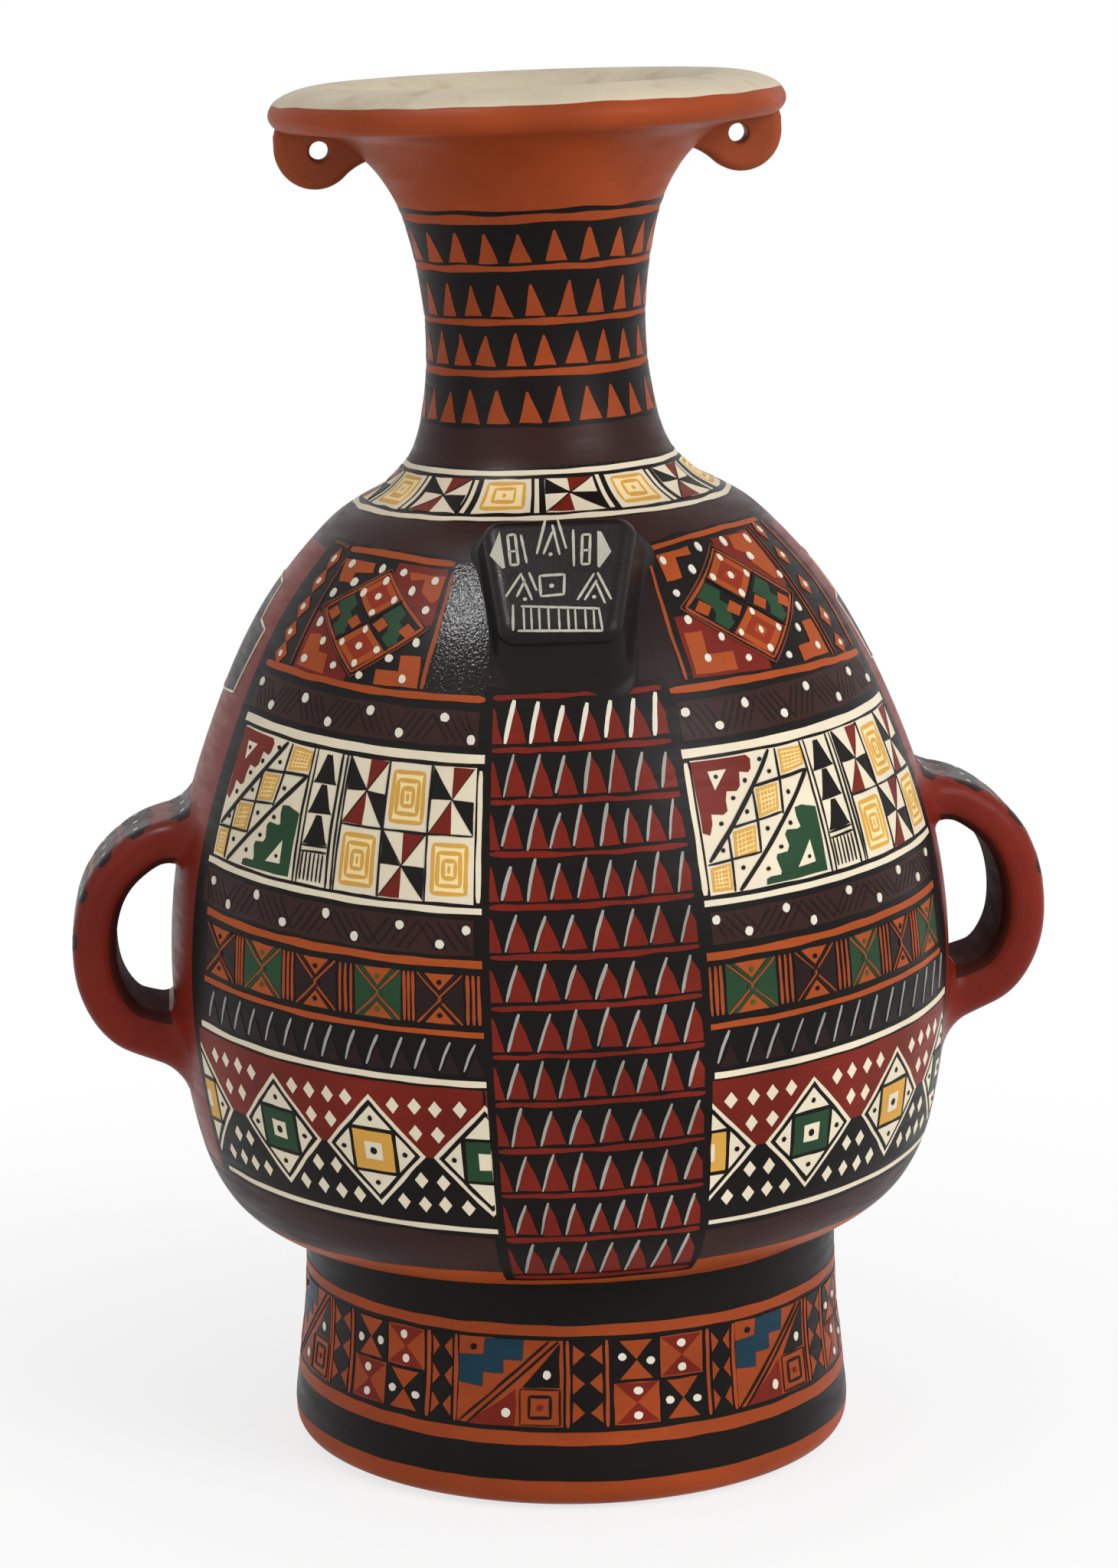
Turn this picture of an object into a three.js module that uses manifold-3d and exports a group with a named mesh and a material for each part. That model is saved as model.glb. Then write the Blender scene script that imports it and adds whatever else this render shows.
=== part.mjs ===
// A painted clay jar in the style of an Inca urpu: a round belly on a ring foot, a tall flaring
// neck, two strap handles low on the belly, two pierced ears under the lip and a carved nub in
// front on the shoulder. Millimetres, +Z up, the nub faces -Y and the handles lie along X.

import * as THREE from "three";
import { ConvexGeometry } from "three/addons/geometries/ConvexGeometry.js";
import { mergeVertices } from "three/addons/utils/BufferGeometryUtils.js";
import Module from "manifold-3d";

// Sizes of the jar, measured along its own axis from the table up
const wall = 5.5; // thickness of the thrown wall
const joint = 0.3; // the clay pieces are kept this far apart where they are luted together
const lean = 1.8; // degrees by which the hand-made jar leans towards -X on its foot

const bellyRadius = 100.6;
const bellyHeight = 124; // widest place, where the two bowls of the body meet
const bottomSag = 1.1; // how far the bottom inside the foot hangs below the foot's top
const shoulderRadius = 38.6;
const shoulderHeight = 252; // where the neck grows out of the shoulder
const neckRadius = 27.7; // narrowest place of the neck
const lipRadius = 64.9;
const lipThickness = 10.4; // from the underside of the rolled lip to the rim
const rimHeight = 351.2;
const mouthDepth = 20.2; // from the rim down to where the flared mouth is joined to the neck
const lipJoint = rimHeight - mouthDepth;

const footHeight = 60; // the foot meets the round bottom of the body here
const footWaist = 69.2; // radius of the foot under the body
const footFlare = 72.7; // radius of the foot's widest place, just above the table
const footFlareHeight = 8;
const footRest = 66.5; // outer radius of the flat ring that stands on the table
const footWall = 7.5;
const footOverlap = 5; // how far the foot's wall runs up before it is cut to the body
const footBevelWidth = 1; // inner edge of the foot's lower face
const footBevelHeight = 3;

const handleReach = 19.2; // from the widest place of the belly to the strap's middle line
const handleTop = 42.2; // height of the strap's upper end above the widest place
const handleBottom = -17.4; // height of its lower end, below the widest place
const strapWidth = 30;
const strapThickness = 10.6; // at the middle of the handle
const strapRound = 4; // rounding of the strap's long edges
const strapFlare = 0.25; // how much wider, as a share, the strap ends at the wall
const strapSwell = 0.3; // how much thicker, as a share, its lower end is
const earThickness = 9;
const earRound = 2;
const earRadius = 10.2;
const earInset = 11.3; // from the edge of the lip in to the middle of the ear
const earDrop = 14.9; // from the rim down to the middle of the ear
const earRoot = 16.5; // from the middle of the ear in to its root in the wall
const earTop = 7; // from the middle of the ear up to its root in the lip
const earHole = 4.8; // diameter of the cord hole
const earHoleInset = 1; // from the middle of the ear in to the middle of the hole
const earHoleDrop = 0.6;

const nubTopWidth = 37.5; // width of the carved face at its top
const nubFootWidth = 29; // width of the face at its lower edge
const nubShift = -2.5; // the nub sits this far beside the jar's middle
const nubTurn = 7; // degrees by which its face is turned towards -X
const nubDrop = 2.4; // from the shoulder's top down to the face's top edge
const nubHeight = 26.8; // from the face's top edge down to its lower edge
const nubChinHeight = 14.3; // from there down to where the nub runs into the shoulder
const nubTopReach = 19.74; // how far the face's top edge stands out from the wall
const nubBrowReach = 11.41; // how far its lower edge stands out
const nubChinReach = 0.62;
const nubDepth = 22; // depth of the block under the face, most of it sunk in the shoulder
const nubCorner = 5; // rounding of the face's corners
const nubEdge = 2.2; // rounding of the edges between the face and its flanks
const nubDraft = 0.42; // the flanks widen by this much for each millimetre of depth

const around = 64; // facets round the axis

// Places that the outlines run through, as radius and height
const at = (r, z) => new THREE.Vector2(r, z);
const footTop = at(footWaist, footHeight);
const belly = at(bellyRadius, bellyHeight);
const shoulder = at(shoulderRadius, shoulderHeight);
const narrow = at(neckRadius, shoulderHeight + (lipJoint - shoulderHeight) * 0.4557);
const rim = at(lipRadius, rimHeight);

// Points between two such places, each with its share of the way across and of the way up
function curve(from, to, shares) {
  const { lerp } = THREE.MathUtils;
  return shares.map(([across, up]) => at(lerp(from.x, to.x, across), lerp(from.y, to.y, up)));
}

// Outline of the body and neck, from the foot up to the underside of the lip
const jarOutline = [
  at(footWaist * 0.7515, footHeight - bottomSag),
  footTop,
  ...curve(footTop, belly, [[0.344, 0.0406], [0.6688, 0.1875], [0.8726, 0.4688]]),
  belly,
  ...curve(belly, shoulder, [[0.0484, 0.2656], [0.2065, 0.5156], [0.4419, 0.75], [0.7419, 0.9219]]),
  shoulder,
  ...curve(shoulder, narrow, [[0.7156, 0.3333]]),
  narrow,
  ...curve(narrow, at(lipRadius, lipJoint), [[0.086, 0.5814], [0.2608, 0.9302]]),
  ...curve(at(neckRadius, lipJoint), rim, [[0.5323, 0.3267], [0.8145, 0.4752]]),
];

// Outline of the rolled lip, from its underside over the rim into the throat
const lipOutline = [
  ...curve(rim, at(neckRadius, rimHeight - lipThickness), [
    [0.0618, 0.9808],
    [0, 0.6731],
    [0.0511, 0.3077],
    [0.2124, 0.0577],
    [0.4005, 0],
    [0.5887, 0.25],
    [0.7446, 0.8846],
  ]),
];
const throatHeight = lipJoint + mouthDepth * 0.3465; // the even inner wall of the neck ends here

// Clays and slips
const clay = (color, roughness) =>
  new THREE.MeshStandardMaterial({ color, roughness, metalness: 0 });
const redSlip = () => clay(0x7a2416, 0.45);
const darkSlip = () => clay(0x35201e, 0.45);
const maroonSlip = () => clay(0x46251f, 0.45);
const bareClay = () => clay(0xa04e24, 0.6);
const blackSlip = () => clay(0x241c1a, 0.4);

// Boolean operations on closed three.js geometries
const wasm = await Module();
wasm.setup();

function solid(geometry) {
  const plain = geometry.clone();
  plain.deleteAttribute("normal");
  plain.deleteAttribute("uv");
  const merged = mergeVertices(plain, 1e-4);
  return new wasm.Manifold(
    new wasm.Mesh({
      numProp: 3,
      vertProperties: merged.attributes.position.array,
      triVerts: new Uint32Array(merged.index.array),
    }),
  );
}

function geometryOf(manifold) {
  const { vertProperties, triVerts } = manifold.getMesh();
  const geometry = new THREE.BufferGeometry();
  geometry.setAttribute("position", new THREE.BufferAttribute(vertProperties, 3));
  geometry.setIndex(new THREE.BufferAttribute(triVerts, 1));
  return geometry;
}

// A solid turned about the Z axis from a profile of radius and height that runs upwards outside
function turned(profile) {
  const geometry = new THREE.LatheGeometry(profile, around);
  geometry.rotateX(Math.PI / 2);
  return solid(geometry);
}

// Points of a smooth curve through the given ones, with a few steps between each pair
function smooth(points, steps) {
  return new THREE.SplineCurve(points).getPoints((points.length - 1) * steps);
}

// The curve moved sideways: a positive distance goes to the left of its direction
function moved(points, distance) {
  return points.map((point, i) => {
    const before = points[Math.max(i - 1, 0)];
    const after = points[Math.min(i + 1, points.length - 1)];
    const along = after.clone().sub(before).normalize();
    return new THREE.Vector2(point.x - along.y * distance, point.y + along.x * distance);
  });
}

const onAxis = (point) => new THREE.Vector2(0, point.y);

// The outside of the jar from the bottom to the rim
const outside = smooth(jarOutline, 3);
const lip = smooth([outside[outside.length - 1], ...lipOutline], 2).slice(1);

// The jar without its foot: an even wall, open at the mouth
function jarShell() {
  const throat = moved(outside, wall).filter((p) => p.y < throatHeight);
  const inside = throat.filter((_, i) => i % 3 === 0).reverse();
  return turned([
    onAxis(outside[0]),
    ...outside,
    ...lip,
    ...inside,
    onAxis(inside[inside.length - 1]),
  ]);
}

// The full volume of the jar, grown by the joint: what a luted piece has to stay clear of
function jarVolume() {
  const grown = moved([...outside, ...lip], -joint);
  return turned([onAxis(grown[0]), ...grown, onAxis(grown[grown.length - 1])]);
}

// What lies between two heights, half a joint inside each
function between(manifold, low, high) {
  const above = manifold.trimByPlane([0, 0, 1], low + joint / 2);
  return above.trimByPlane([0, 0, -1], joint / 2 - high);
}

// Turns a solid of the upright jar to the way the jar leans on its foot
function leaning(manifold) {
  const tilt = new THREE.Matrix4().makeTranslation(0, 0, footHeight);
  tilt.multiply(new THREE.Matrix4().makeRotationY(THREE.MathUtils.degToRad(-lean)));
  tilt.multiply(new THREE.Matrix4().makeTranslation(0, 0, -footHeight));
  return solid(geometryOf(manifold).applyMatrix4(tilt));
}

// The ring foot stands upright, and its top is cut to the bottom of the leaning jar
function footRing() {
  const rest = at(footRest, 0);
  const flare = at(footFlare, footFlareHeight);
  const outer = smooth(
    [
      rest,
      ...curve(rest, flare, [[0.7903, 0.325]]),
      flare,
      ...curve(flare, footTop, [[0.3714, 0.2308], [0.8857, 0.5385], [1, 0.9231]]),
    ],
    2,
  );
  const top = footHeight + footOverlap;
  const inner = footWaist - footWall;
  const ring = turned([
    at(inner + footBevelWidth, 0),
    ...outer,
    at(footWaist, top),
    at(inner, top),
    at(inner, footBevelHeight),
    at(inner + footBevelWidth, 0),
  ]);
  return ring.subtract(leaning(jarVolume()));
}

// A flat outline of radius and height, thickened evenly to both sides of the XZ plane
function upright(outline, thickness, rounding, steps) {
  const geometry = new THREE.ExtrudeGeometry(outline, {
    depth: thickness - 2 * rounding,
    bevelThickness: rounding,
    bevelSize: rounding,
    bevelOffset: -rounding,
    bevelSegments: steps,
    curveSegments: 6,
  });
  geometry.rotateX(Math.PI / 2);
  geometry.translate(0, thickness / 2 - rounding, 0);
  return solid(geometry);
}

// A strap handle on the +X side: a rounded strap bent round a gap for the fingers, which widens
// and thickens towards the ends that are luted to the wall
function strapHandle() {
  const low = at(bellyRadius, bellyHeight + handleBottom);
  const middle = new THREE.SplineCurve(
    curve(low, at(bellyRadius + handleReach, bellyHeight + handleTop), [
      [-1.073, 1],
      [-0.0573, 0.9732],
      [0.4896, 0.8859],
      [0.8438, 0.745],
      [1, 0.5503],
      [0.9531, 0.3456],
      [0.6667, 0.1846],
      [0.1771, 0.1107],
      [-0.8646, 0],
    ]),
  );
  const section = new THREE.Shape();
  const x = strapWidth / 2 - strapRound;
  const y = strapThickness / 2 - strapRound;
  section.absarc(x, y, strapRound, 0, Math.PI / 2);
  section.absarc(-x, y, strapRound, Math.PI / 2, Math.PI);
  section.absarc(-x, -y, strapRound, Math.PI, 1.5 * Math.PI);
  section.absarc(x, -y, strapRound, 1.5 * Math.PI, 2 * Math.PI);
  const geometry = new THREE.ExtrudeGeometry(section, {
    depth: 1,
    steps: 22,
    curveSegments: 3,
    bevelEnabled: false,
  });
  const position = geometry.attributes.position;
  for (let i = 0; i < position.count; i += 1) {
    const t = position.getZ(i);
    const centre = middle.getPoint(t);
    const along = middle.getTangent(t);
    const across = -position.getX(i) * (1 + strapFlare * Math.abs(2 * t - 1) ** 4);
    const out = position.getY(i) * (1 + strapSwell * t ** 3);
    position.setXYZ(i, centre.x + along.y * out, across, centre.y - along.x * out);
  }
  return solid(geometry);
}

// A flat ear on the +X side: half round below, running in to the neck, with a cord hole
function ear() {
  const r = lipRadius - earInset;
  const z = rimHeight - earDrop;
  const outline = new THREE.Shape();
  outline.moveTo(r + earRadius, z + earTop);
  outline.lineTo(r + earRadius, z);
  outline.absarc(r, z, earRadius, 0, -Math.PI * 0.74, true);
  outline.quadraticCurveTo(r - earRoot * 0.642, z - earRadius * 0.373, r - earRoot, z - earRadius * 0.275);
  outline.lineTo(r - earRoot, z + earTop * 0.571);
  const round = new THREE.CylinderGeometry(earHole / 2, earHole / 2, 2 * earThickness, 20);
  round.translate(r - earHoleInset, 0, z - earHoleDrop);
  return upright(outline, earThickness, earRound, 2).subtract(solid(round));
}

// The radius of the jar's outside at a height
function radiusAt(height) {
  const i = outside.findIndex((p) => p.y > height);
  const [below, above] = [outside[i - 1], outside[i]];
  return THREE.MathUtils.mapLinear(height, below.y, above.y, below.x, above.x);
}

// The nub: a tapering block with a sloping carved face, from outlines that widen inwards
function frontNub() {
  const [topHeight, browHeight] = [shoulderHeight - nubDrop, shoulderHeight - nubDrop - nubHeight];
  const chinHeight = browHeight - nubChinHeight;
  const top = at(radiusAt(topHeight) + nubTopReach, topHeight);
  const brow = at(radiusAt(browHeight) + nubBrowReach, browHeight);
  const chin = at(radiusAt(chinHeight) + nubChinReach, chinHeight);
  const slope = brow.clone().sub(top);
  const length = slope.length();
  const angle = Math.atan2(-slope.y, slope.x);
  const points = [];
  const addOutline = (depth, grow, tail) => {
    const low = length + tail;
    const half = (v) => THREE.MathUtils.mapLinear(v, 0, length, nubTopWidth, nubFootWidth) / 2;
    const corners = [
      [half(0), 0, 0],
      [half(low), low, 90],
      [-half(low), low, 180],
      [-half(0), 0, 270],
    ];
    for (const [x, v, start] of corners) {
      for (let step = 0; step <= 4; step += 1) {
        const turn = THREE.MathUtils.degToRad(start + (step * 90) / 4 - 90);
        const radius = nubCorner + grow;
        const u = x - Math.sign(x) * nubCorner + radius * Math.cos(turn);
        const w = v - (v > 0 ? nubCorner : -nubCorner) + radius * Math.sin(turn);
        points.push(
          new THREE.Vector3(
            u,
            -(top.x + w * Math.cos(angle) - depth * Math.sin(angle)),
            top.y - w * Math.sin(angle) - depth * Math.cos(angle),
          ),
        );
      }
    }
  };
  for (let step = 0; step <= 3; step += 1) {
    const turn = (step * Math.PI) / 6;
    addOutline(nubEdge * (1 - Math.sin(turn)), -nubEdge * (1 - Math.cos(turn)), 0);
  }
  addOutline(nubDepth, nubDepth * nubDraft, chin.distanceTo(brow));
  const middle = (top.x + brow.x) / 2;
  const block = solid(new ConvexGeometry(points)).translate([0, middle, 0]);
  return block.rotate([0, 0, -nubTurn]).translate([nubShift, -middle, 0]);
}

// The other one of a pair, half a turn round the axis
const opposite = (manifold) => manifold.rotate([0, 0, 180]);

function piece(name, manifold, material) {
  const mesh = new THREE.Mesh(geometryOf(manifold), material);
  mesh.name = name;
  return mesh;
}

const shell = jarShell();
const volume = jarVolume();
const handle = strapHandle().subtract(volume);
const lug = ear().subtract(volume);

const jar = new THREE.Group();
jar.name = "clay_jar";
jar.add(
  piece("foot_ring", footRing(), blackSlip()),
  piece("body_lower", leaning(between(shell, 0, bellyHeight)), redSlip()),
  piece("body_upper", leaning(between(shell, bellyHeight, shoulderHeight)), maroonSlip()),
  piece("neck", leaning(between(shell, shoulderHeight, lipJoint)), bareClay()),
  piece("lip", leaning(between(shell, lipJoint, 2 * rimHeight)), bareClay()),
  piece("handle_right", leaning(handle), redSlip()),
  piece("handle_left", leaning(opposite(handle)), redSlip()),
  piece("ear_right", leaning(lug), redSlip()),
  piece("ear_left", leaning(opposite(lug)), redSlip()),
  piece("front_nub", leaning(frontNub().subtract(volume)), darkSlip()),
);

// The origin lies on the table, under the middle of the overall width
const extent = new THREE.Box3().setFromObject(jar);
for (const mesh of jar.children) {
  mesh.geometry.translate(-(extent.min.x + extent.max.x) / 2, 0, 0);
}

export default jar;
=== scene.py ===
"""The looks of a painted clay jar: its smooth thrown surfaces, the slip painting and the studio.

Lengths are in millimetres and angles in degrees until a point is placed in the frame, which is in
metres. The painting is drawn on the unrolled jar: azimuth (0 at the nub, positive towards the
right handle) and height along the jar's own axis.
"""

import math
import random
from collections import namedtuple

import bmesh
import bpy
import numpy as np
from mathutils import Matrix, Vector
from mathutils.geometry import tessellate_polygon

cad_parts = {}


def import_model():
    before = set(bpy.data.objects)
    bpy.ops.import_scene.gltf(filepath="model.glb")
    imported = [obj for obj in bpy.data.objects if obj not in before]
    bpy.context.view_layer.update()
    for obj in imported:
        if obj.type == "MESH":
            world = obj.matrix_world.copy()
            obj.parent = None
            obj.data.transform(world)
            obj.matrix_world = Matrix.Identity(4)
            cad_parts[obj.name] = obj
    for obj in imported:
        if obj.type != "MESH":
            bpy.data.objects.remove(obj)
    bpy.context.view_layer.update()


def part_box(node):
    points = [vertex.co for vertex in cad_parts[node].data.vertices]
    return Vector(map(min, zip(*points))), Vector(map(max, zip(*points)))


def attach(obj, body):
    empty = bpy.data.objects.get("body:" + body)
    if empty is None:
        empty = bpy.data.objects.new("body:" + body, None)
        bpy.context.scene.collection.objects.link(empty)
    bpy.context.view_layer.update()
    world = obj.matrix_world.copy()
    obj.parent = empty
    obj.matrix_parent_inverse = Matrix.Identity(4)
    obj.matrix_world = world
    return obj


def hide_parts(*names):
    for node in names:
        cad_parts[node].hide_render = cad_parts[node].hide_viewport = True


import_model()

MM = 0.001
rng = random.Random(11)

# Sizes shared with the solids
WALL = 5.5
LEAN = math.radians(1.8)
FOOT_HEIGHT = 60.0
BELLY_HEIGHT = 124.0
SHOULDER_HEIGHT = 252.0
LIP_JOINT = 331.0
BOTTOM = 58.9
RIM = 340.6
JAR_OUTLINE = [
    (52, BOTTOM), (69.2, 59.9), (80, 62.6), (90.2, 72), (96.6, 90), (100.6, 124), (97.6, 158),
    (87.8, 190), (73.2, 220), (54.6, 242), (38.6, 252), (30.8, 264), (27.7, 288), (30.9, 313),
    (37.4, 328), (47.5, 337.6), (58, RIM),
]
LIP_OUTLINE = [
    (62.6, 341), (64.9, 344.2), (63, 348), (57, 350.6), (50, 351.2), (43, 348.6), (37.2, 342),
]
FOOT_TOP = 61
FOOT_OUTLINE = [
    (66.5, 0), (71.4, 2.6), (72.7, 8), (71.4, 20), (69.6, 36), (69.2, 56), (69.2, FOOT_TOP),
]
FOOT_INNER = 61.7
STRAP_WIDTH = 30.0
STRAP_THICKNESS = 10.6
STRAP_ROUND = 4.6
STRAP_LINE = [
    (80, 166.2), (99.5, 164.6), (110, 159.4), (116.8, 151), (119.8, 139.4), (118.9, 127.2),
    (113.4, 117.6), (104, 113.2), (84, 106.6),
]
EAR_CENTRE = (53.6, 336.3)
EAR_RADIUS = 10.2
EAR_THICKNESS = 9.0
EAR_EDGE = 2.4
EAR_HOLE = 4.8
EAR_HOLE_EDGE = 1.0
NUB_TOP = (62, 249.6)
NUB_BROW = (82.6, 222.8)
NUB_CHIN = (80.2, 208.5)
NUB_TOP_WIDTH = 37.5
NUB_FOOT_WIDTH = 30.5
NUB_SHIFT = -2.5
NUB_TURN = math.radians(7)
NUB_DEPTH = 22.0
NUB_CORNER = 5.0
NUB_EDGE = 3.6
NUB_DRAFT = 0.17
NUB_FILLET = 1.8

# The axis of the foot, from the frame
foot_low, foot_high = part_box("foot_ring")
AXIS_X = (foot_low.x + foot_high.x) / 2 / MM

# How finely things are drawn
AROUND = 288  # faces round the axis
JAR_STEPS, LIP_STEPS, FOOT_STEPS, STRAP_STEPS = 16, 12, 10, 14  # points to a span of an outline
CORNER_STEPS = 8  # faces round a corner of the straps and the nub
FINE = 700  # places tried along a strap, to find where it meets the wall
FILLET_ROWS, STRAP_ROWS = 9, 60  # rings of a strap in each fillet and between the fillets
COLUMN, ROW, STROKE_STEP = 2.2, 1.4, 1.6  # faces of a painted band and of a stroke
NECK_START = 240
NECK_EDGE, BELLY_EDGE = 1.8, 3.0  # longest edges inside a painted shape, above and below there
LAYER = 0.05  # thickness of one coat of slip
UNDER = -0.03  # how deep the edge of a coat reaches under the skin


def spline(points, steps):
    """Points of a smooth curve through the given ones, with a few steps between each pair."""
    points = [np.array(p, float) for p in points]
    last = len(points) - 1
    curve = []
    for i in range(last):
        before, after = points[max(i - 1, 0)], points[min(i + 2, last)]
        a, b = points[i], points[i + 1]
        va, vb = (b - before) / 2, (after - a) / 2
        for k in range(steps):
            t = k / steps
            cubic = (2 * a - 2 * b + va + vb) * t**3
            square = (-3 * a + 3 * b - 2 * va - vb) * t**2
            curve.append(cubic + square + va * t + a)
    curve.append(points[-1])
    return np.array(curve)


def unit(steps):
    """Steps made one long, each along the last axis."""
    return steps / np.maximum(np.linalg.norm(steps, axis=-1), 1e-9)[..., None]


def left_of(along):
    return np.column_stack([-along[:, 1], along[:, 0]])


def part_of(curve, low, high):
    """The stretch of a rising curve between two heights, with its ends cut there."""
    z = curve[:, 1]
    middle = curve[(z > low + 0.01) & (z < high - 0.01)]
    ends = [np.array([np.interp(h, z, curve[:, 0]), h]) for h in (low, high)]
    return np.vstack([ends[0], middle, ends[1]])


outside = spline(JAR_OUTLINE, JAR_STEPS)
lip = spline([outside[-1], *LIP_OUTLINE], LIP_STEPS)[1:]
inside = outside + WALL * left_of(unit(np.gradient(outside, axis=0)))
inside = inside[(inside[:, 1] < 338) & (inside[:, 0] > 8)]
foot_curve = spline(FOOT_OUTLINE, FOOT_STEPS)

# Outer radius by height, from the edge of the bottom up to the top of the rim
skin = np.vstack([outside[JAR_STEPS:], lip[: LIP_STEPS * 5]])
skin_slope = np.gradient(skin[:, 0], skin[:, 1] + 1e-4 * np.arange(len(skin)))
skin_length = np.concatenate([[0], np.cumsum(np.hypot(*np.diff(skin, axis=0).T))])


def jar_radius(z):
    return np.interp(z, skin[:, 1], skin[:, 0])


def foot_radius(z):
    return np.interp(z, foot_curve[:, 1], foot_curve[:, 0])


def leaned(points):
    """Points of the upright jar, in mm, as the leaning jar stands in the frame, in metres."""
    x, y, z = points.T
    up = z - FOOT_HEIGHT
    across = x * math.cos(LEAN) - up * math.sin(LEAN) + AXIS_X
    high = FOOT_HEIGHT + x * math.sin(LEAN) + up * math.cos(LEAN)
    return np.column_stack([across, y, high]) * MM


def upright(points):
    """Points of the foot, which stands straight."""
    return (points + [AXIS_X, 0, 0]) * MM


def turned(radius, angle, z):
    """Points round the axis, at angles from the front."""
    return np.column_stack([radius * np.sin(angle), -radius * np.cos(angle), z + 0 * angle])


def on_wall(radius, slope, azimuth, z, lift):
    """Points at a small distance outside a turned wall."""
    length = np.hypot(1, slope)
    return turned(radius + lift / length, np.radians(azimuth), z - lift * slope / length)


def place_on_jar(azimuth, z, lift):
    slope = np.interp(z, skin[:, 1], skin_slope)
    return leaned(on_wall(jar_radius(z), slope, azimuth, z, lift))


def place_on_foot(azimuth, z, lift):
    slope = foot_radius(z + 0.5) - foot_radius(z - 0.5)
    return upright(on_wall(foot_radius(z), slope, azimuth, z, lift))


# Meshes


def net(rows, columns, closed=True, looped=False):
    """Faces between rows of points. Closed rows join end to end, looped ones last to first."""
    faces = []
    for j in range(rows if looped else rows - 1):
        low, high = j * columns, (j + 1) % rows * columns
        for i in range(columns if closed else columns - 1):
            n = (i + 1) % columns
            faces.append((low + i, low + n, high + n, high + i))
    return faces


def shifted(faces, start):
    return [tuple(start + i for i in face) for face in faces]


def skirt(edge, start, base):
    """Faces from an edge of a sheet that starts at one point down to a loop that starts at another."""
    around = zip(edge, edge[1:] + edge[:1], range(len(edge)))
    return [(start + n, start + i, base + k, base + (k + 1) % len(edge)) for i, n, k in around]


def rounded(centres, radius, first=0):
    """A four-cornered outline with round corners, and the outward directions along it."""
    points, normals = [], []
    for corner, (x, y) in enumerate(centres):
        for step in range(CORNER_STEPS + 1):
            a = math.radians(first + corner * 90 + step * 90 / CORNER_STEPS)
            points.append((x + radius * math.cos(a), y + radius * math.sin(a)))
            normals.append((math.cos(a), math.sin(a)))
    return points, normals


def make_object(name, points, faces, material, sharp=40, reckon=False):
    """A smooth object with its sharp edges marked. Its normals are turned outwards if asked."""
    mesh = bpy.data.meshes.new(name)
    mesh.from_pydata([tuple(p) for p in points], [], faces)
    mesh.validate()
    mesh.polygons.foreach_set("use_smooth", [True] * len(mesh.polygons))
    mesh.set_sharp_from_angle(angle=math.radians(sharp))
    mesh.materials.append(material)
    obj = bpy.data.objects.new(name, mesh)
    bpy.context.scene.collection.objects.link(obj)
    if reckon:
        bm = bmesh.new()
        bm.from_mesh(mesh)
        bmesh.ops.recalc_face_normals(bm, faces=bm.faces[:])
        bm.to_mesh(mesh)
        bm.free()
    return obj


def stand_in(obj, slot, *nodes):
    """A piece that rides with the jar and stands for CAD nodes. Its slot is not used."""
    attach(obj, "root")
    if nodes:
        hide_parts(*nodes)


def revolve(profile, place):
    """Points and faces of a closed profile turned about the axis, capped where it ends there."""
    capped = profile[0][0] < 1e-6
    rows = profile[1:-1] if capped else profile
    angles = np.radians(np.arange(AROUND) * 360 / AROUND)
    points = np.vstack([turned(r, angles, z) for r, z in rows])
    faces = net(len(rows), AROUND, looped=not capped)
    if capped:
        low, top = len(points), len(points) - AROUND
        points = np.vstack([points, [0, 0, profile[0][1]], [0, 0, profile[-1][1]]])
        for i in range(AROUND):
            n = (i + 1) % AROUND
            faces += [(low, n, i), (low + 1, top + i, top + n)]
    return place(points), faces


# Painting: each colour is a set of thin coats, drawn flat and then laid on the jar or the foot

Ground = namedtuple("Ground", "surface sagging")
JAR = Ground("jar", False)
BANDS = Ground("jar", True)
FOOT = Ground("foot", False)
STRAP = Ground("strap", False)
coats = {}


def scale_at(ground, z):
    """Millimetres to a degree of azimuth at a height. A strap is drawn in millimetres."""
    if ground is STRAP:
        return 1.0
    radius = foot_radius(z) if ground is FOOT else jar_radius(z)
    return float(radius) * math.pi / 180


def sag(azimuth):
    """How far the painted bands rise or fall along each side of the jar, in mm."""
    azimuth = np.asarray(azimuth, float)
    left = 4.4 * np.clip((-15 - azimuth) / 51, 0, 1) ** 1.15
    left *= np.clip((azimuth + 150) / 60, 0, 1)
    right = np.where(azimuth > 15, -1.3 + 1.6 * np.clip((azimuth - 15) / 54, 0, 1) ** 1.5, 0)
    return left + right


def waver(count, size, smoothing=2):
    """Small smooth random offsets along a hand-drawn edge."""
    values = np.array([rng.uniform(-1, 1) for _ in range(count)])
    for _ in range(smoothing):
        values = (np.roll(values, 1) + values + np.roll(values, -1)) / 3
    return values * size * (1 + smoothing * 0.7)


def turn_of(a, b, c):
    """Positive where three places run anticlockwise."""
    return (b[0] - a[0]) * (c[1] - a[1]) - (c[0] - a[0]) * (b[1] - a[1])


def add_mesh(ground, colour, level, flat, faces, edge):
    """Adds a flat piece of paint, with a wall down to the clay along its edge."""
    if ground.sagging:
        flat = flat + np.column_stack([0 * flat[:, 0], sag(flat[:, 0])])
    points, sheet_faces = coats.setdefault((ground.surface, colour, level), ([], []))
    start = sum(len(p) for p in points)
    lift = LAYER * level + rng.uniform(0, 0.012)
    rim = flat[edge]
    points.append(np.column_stack([flat, np.full(len(flat), lift)]))
    points.append(np.column_stack([rim, np.full(len(rim), UNDER)]))
    sheet_faces += shifted(faces, start)
    sheet_faces += skirt(edge, start, start + len(flat))


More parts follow.
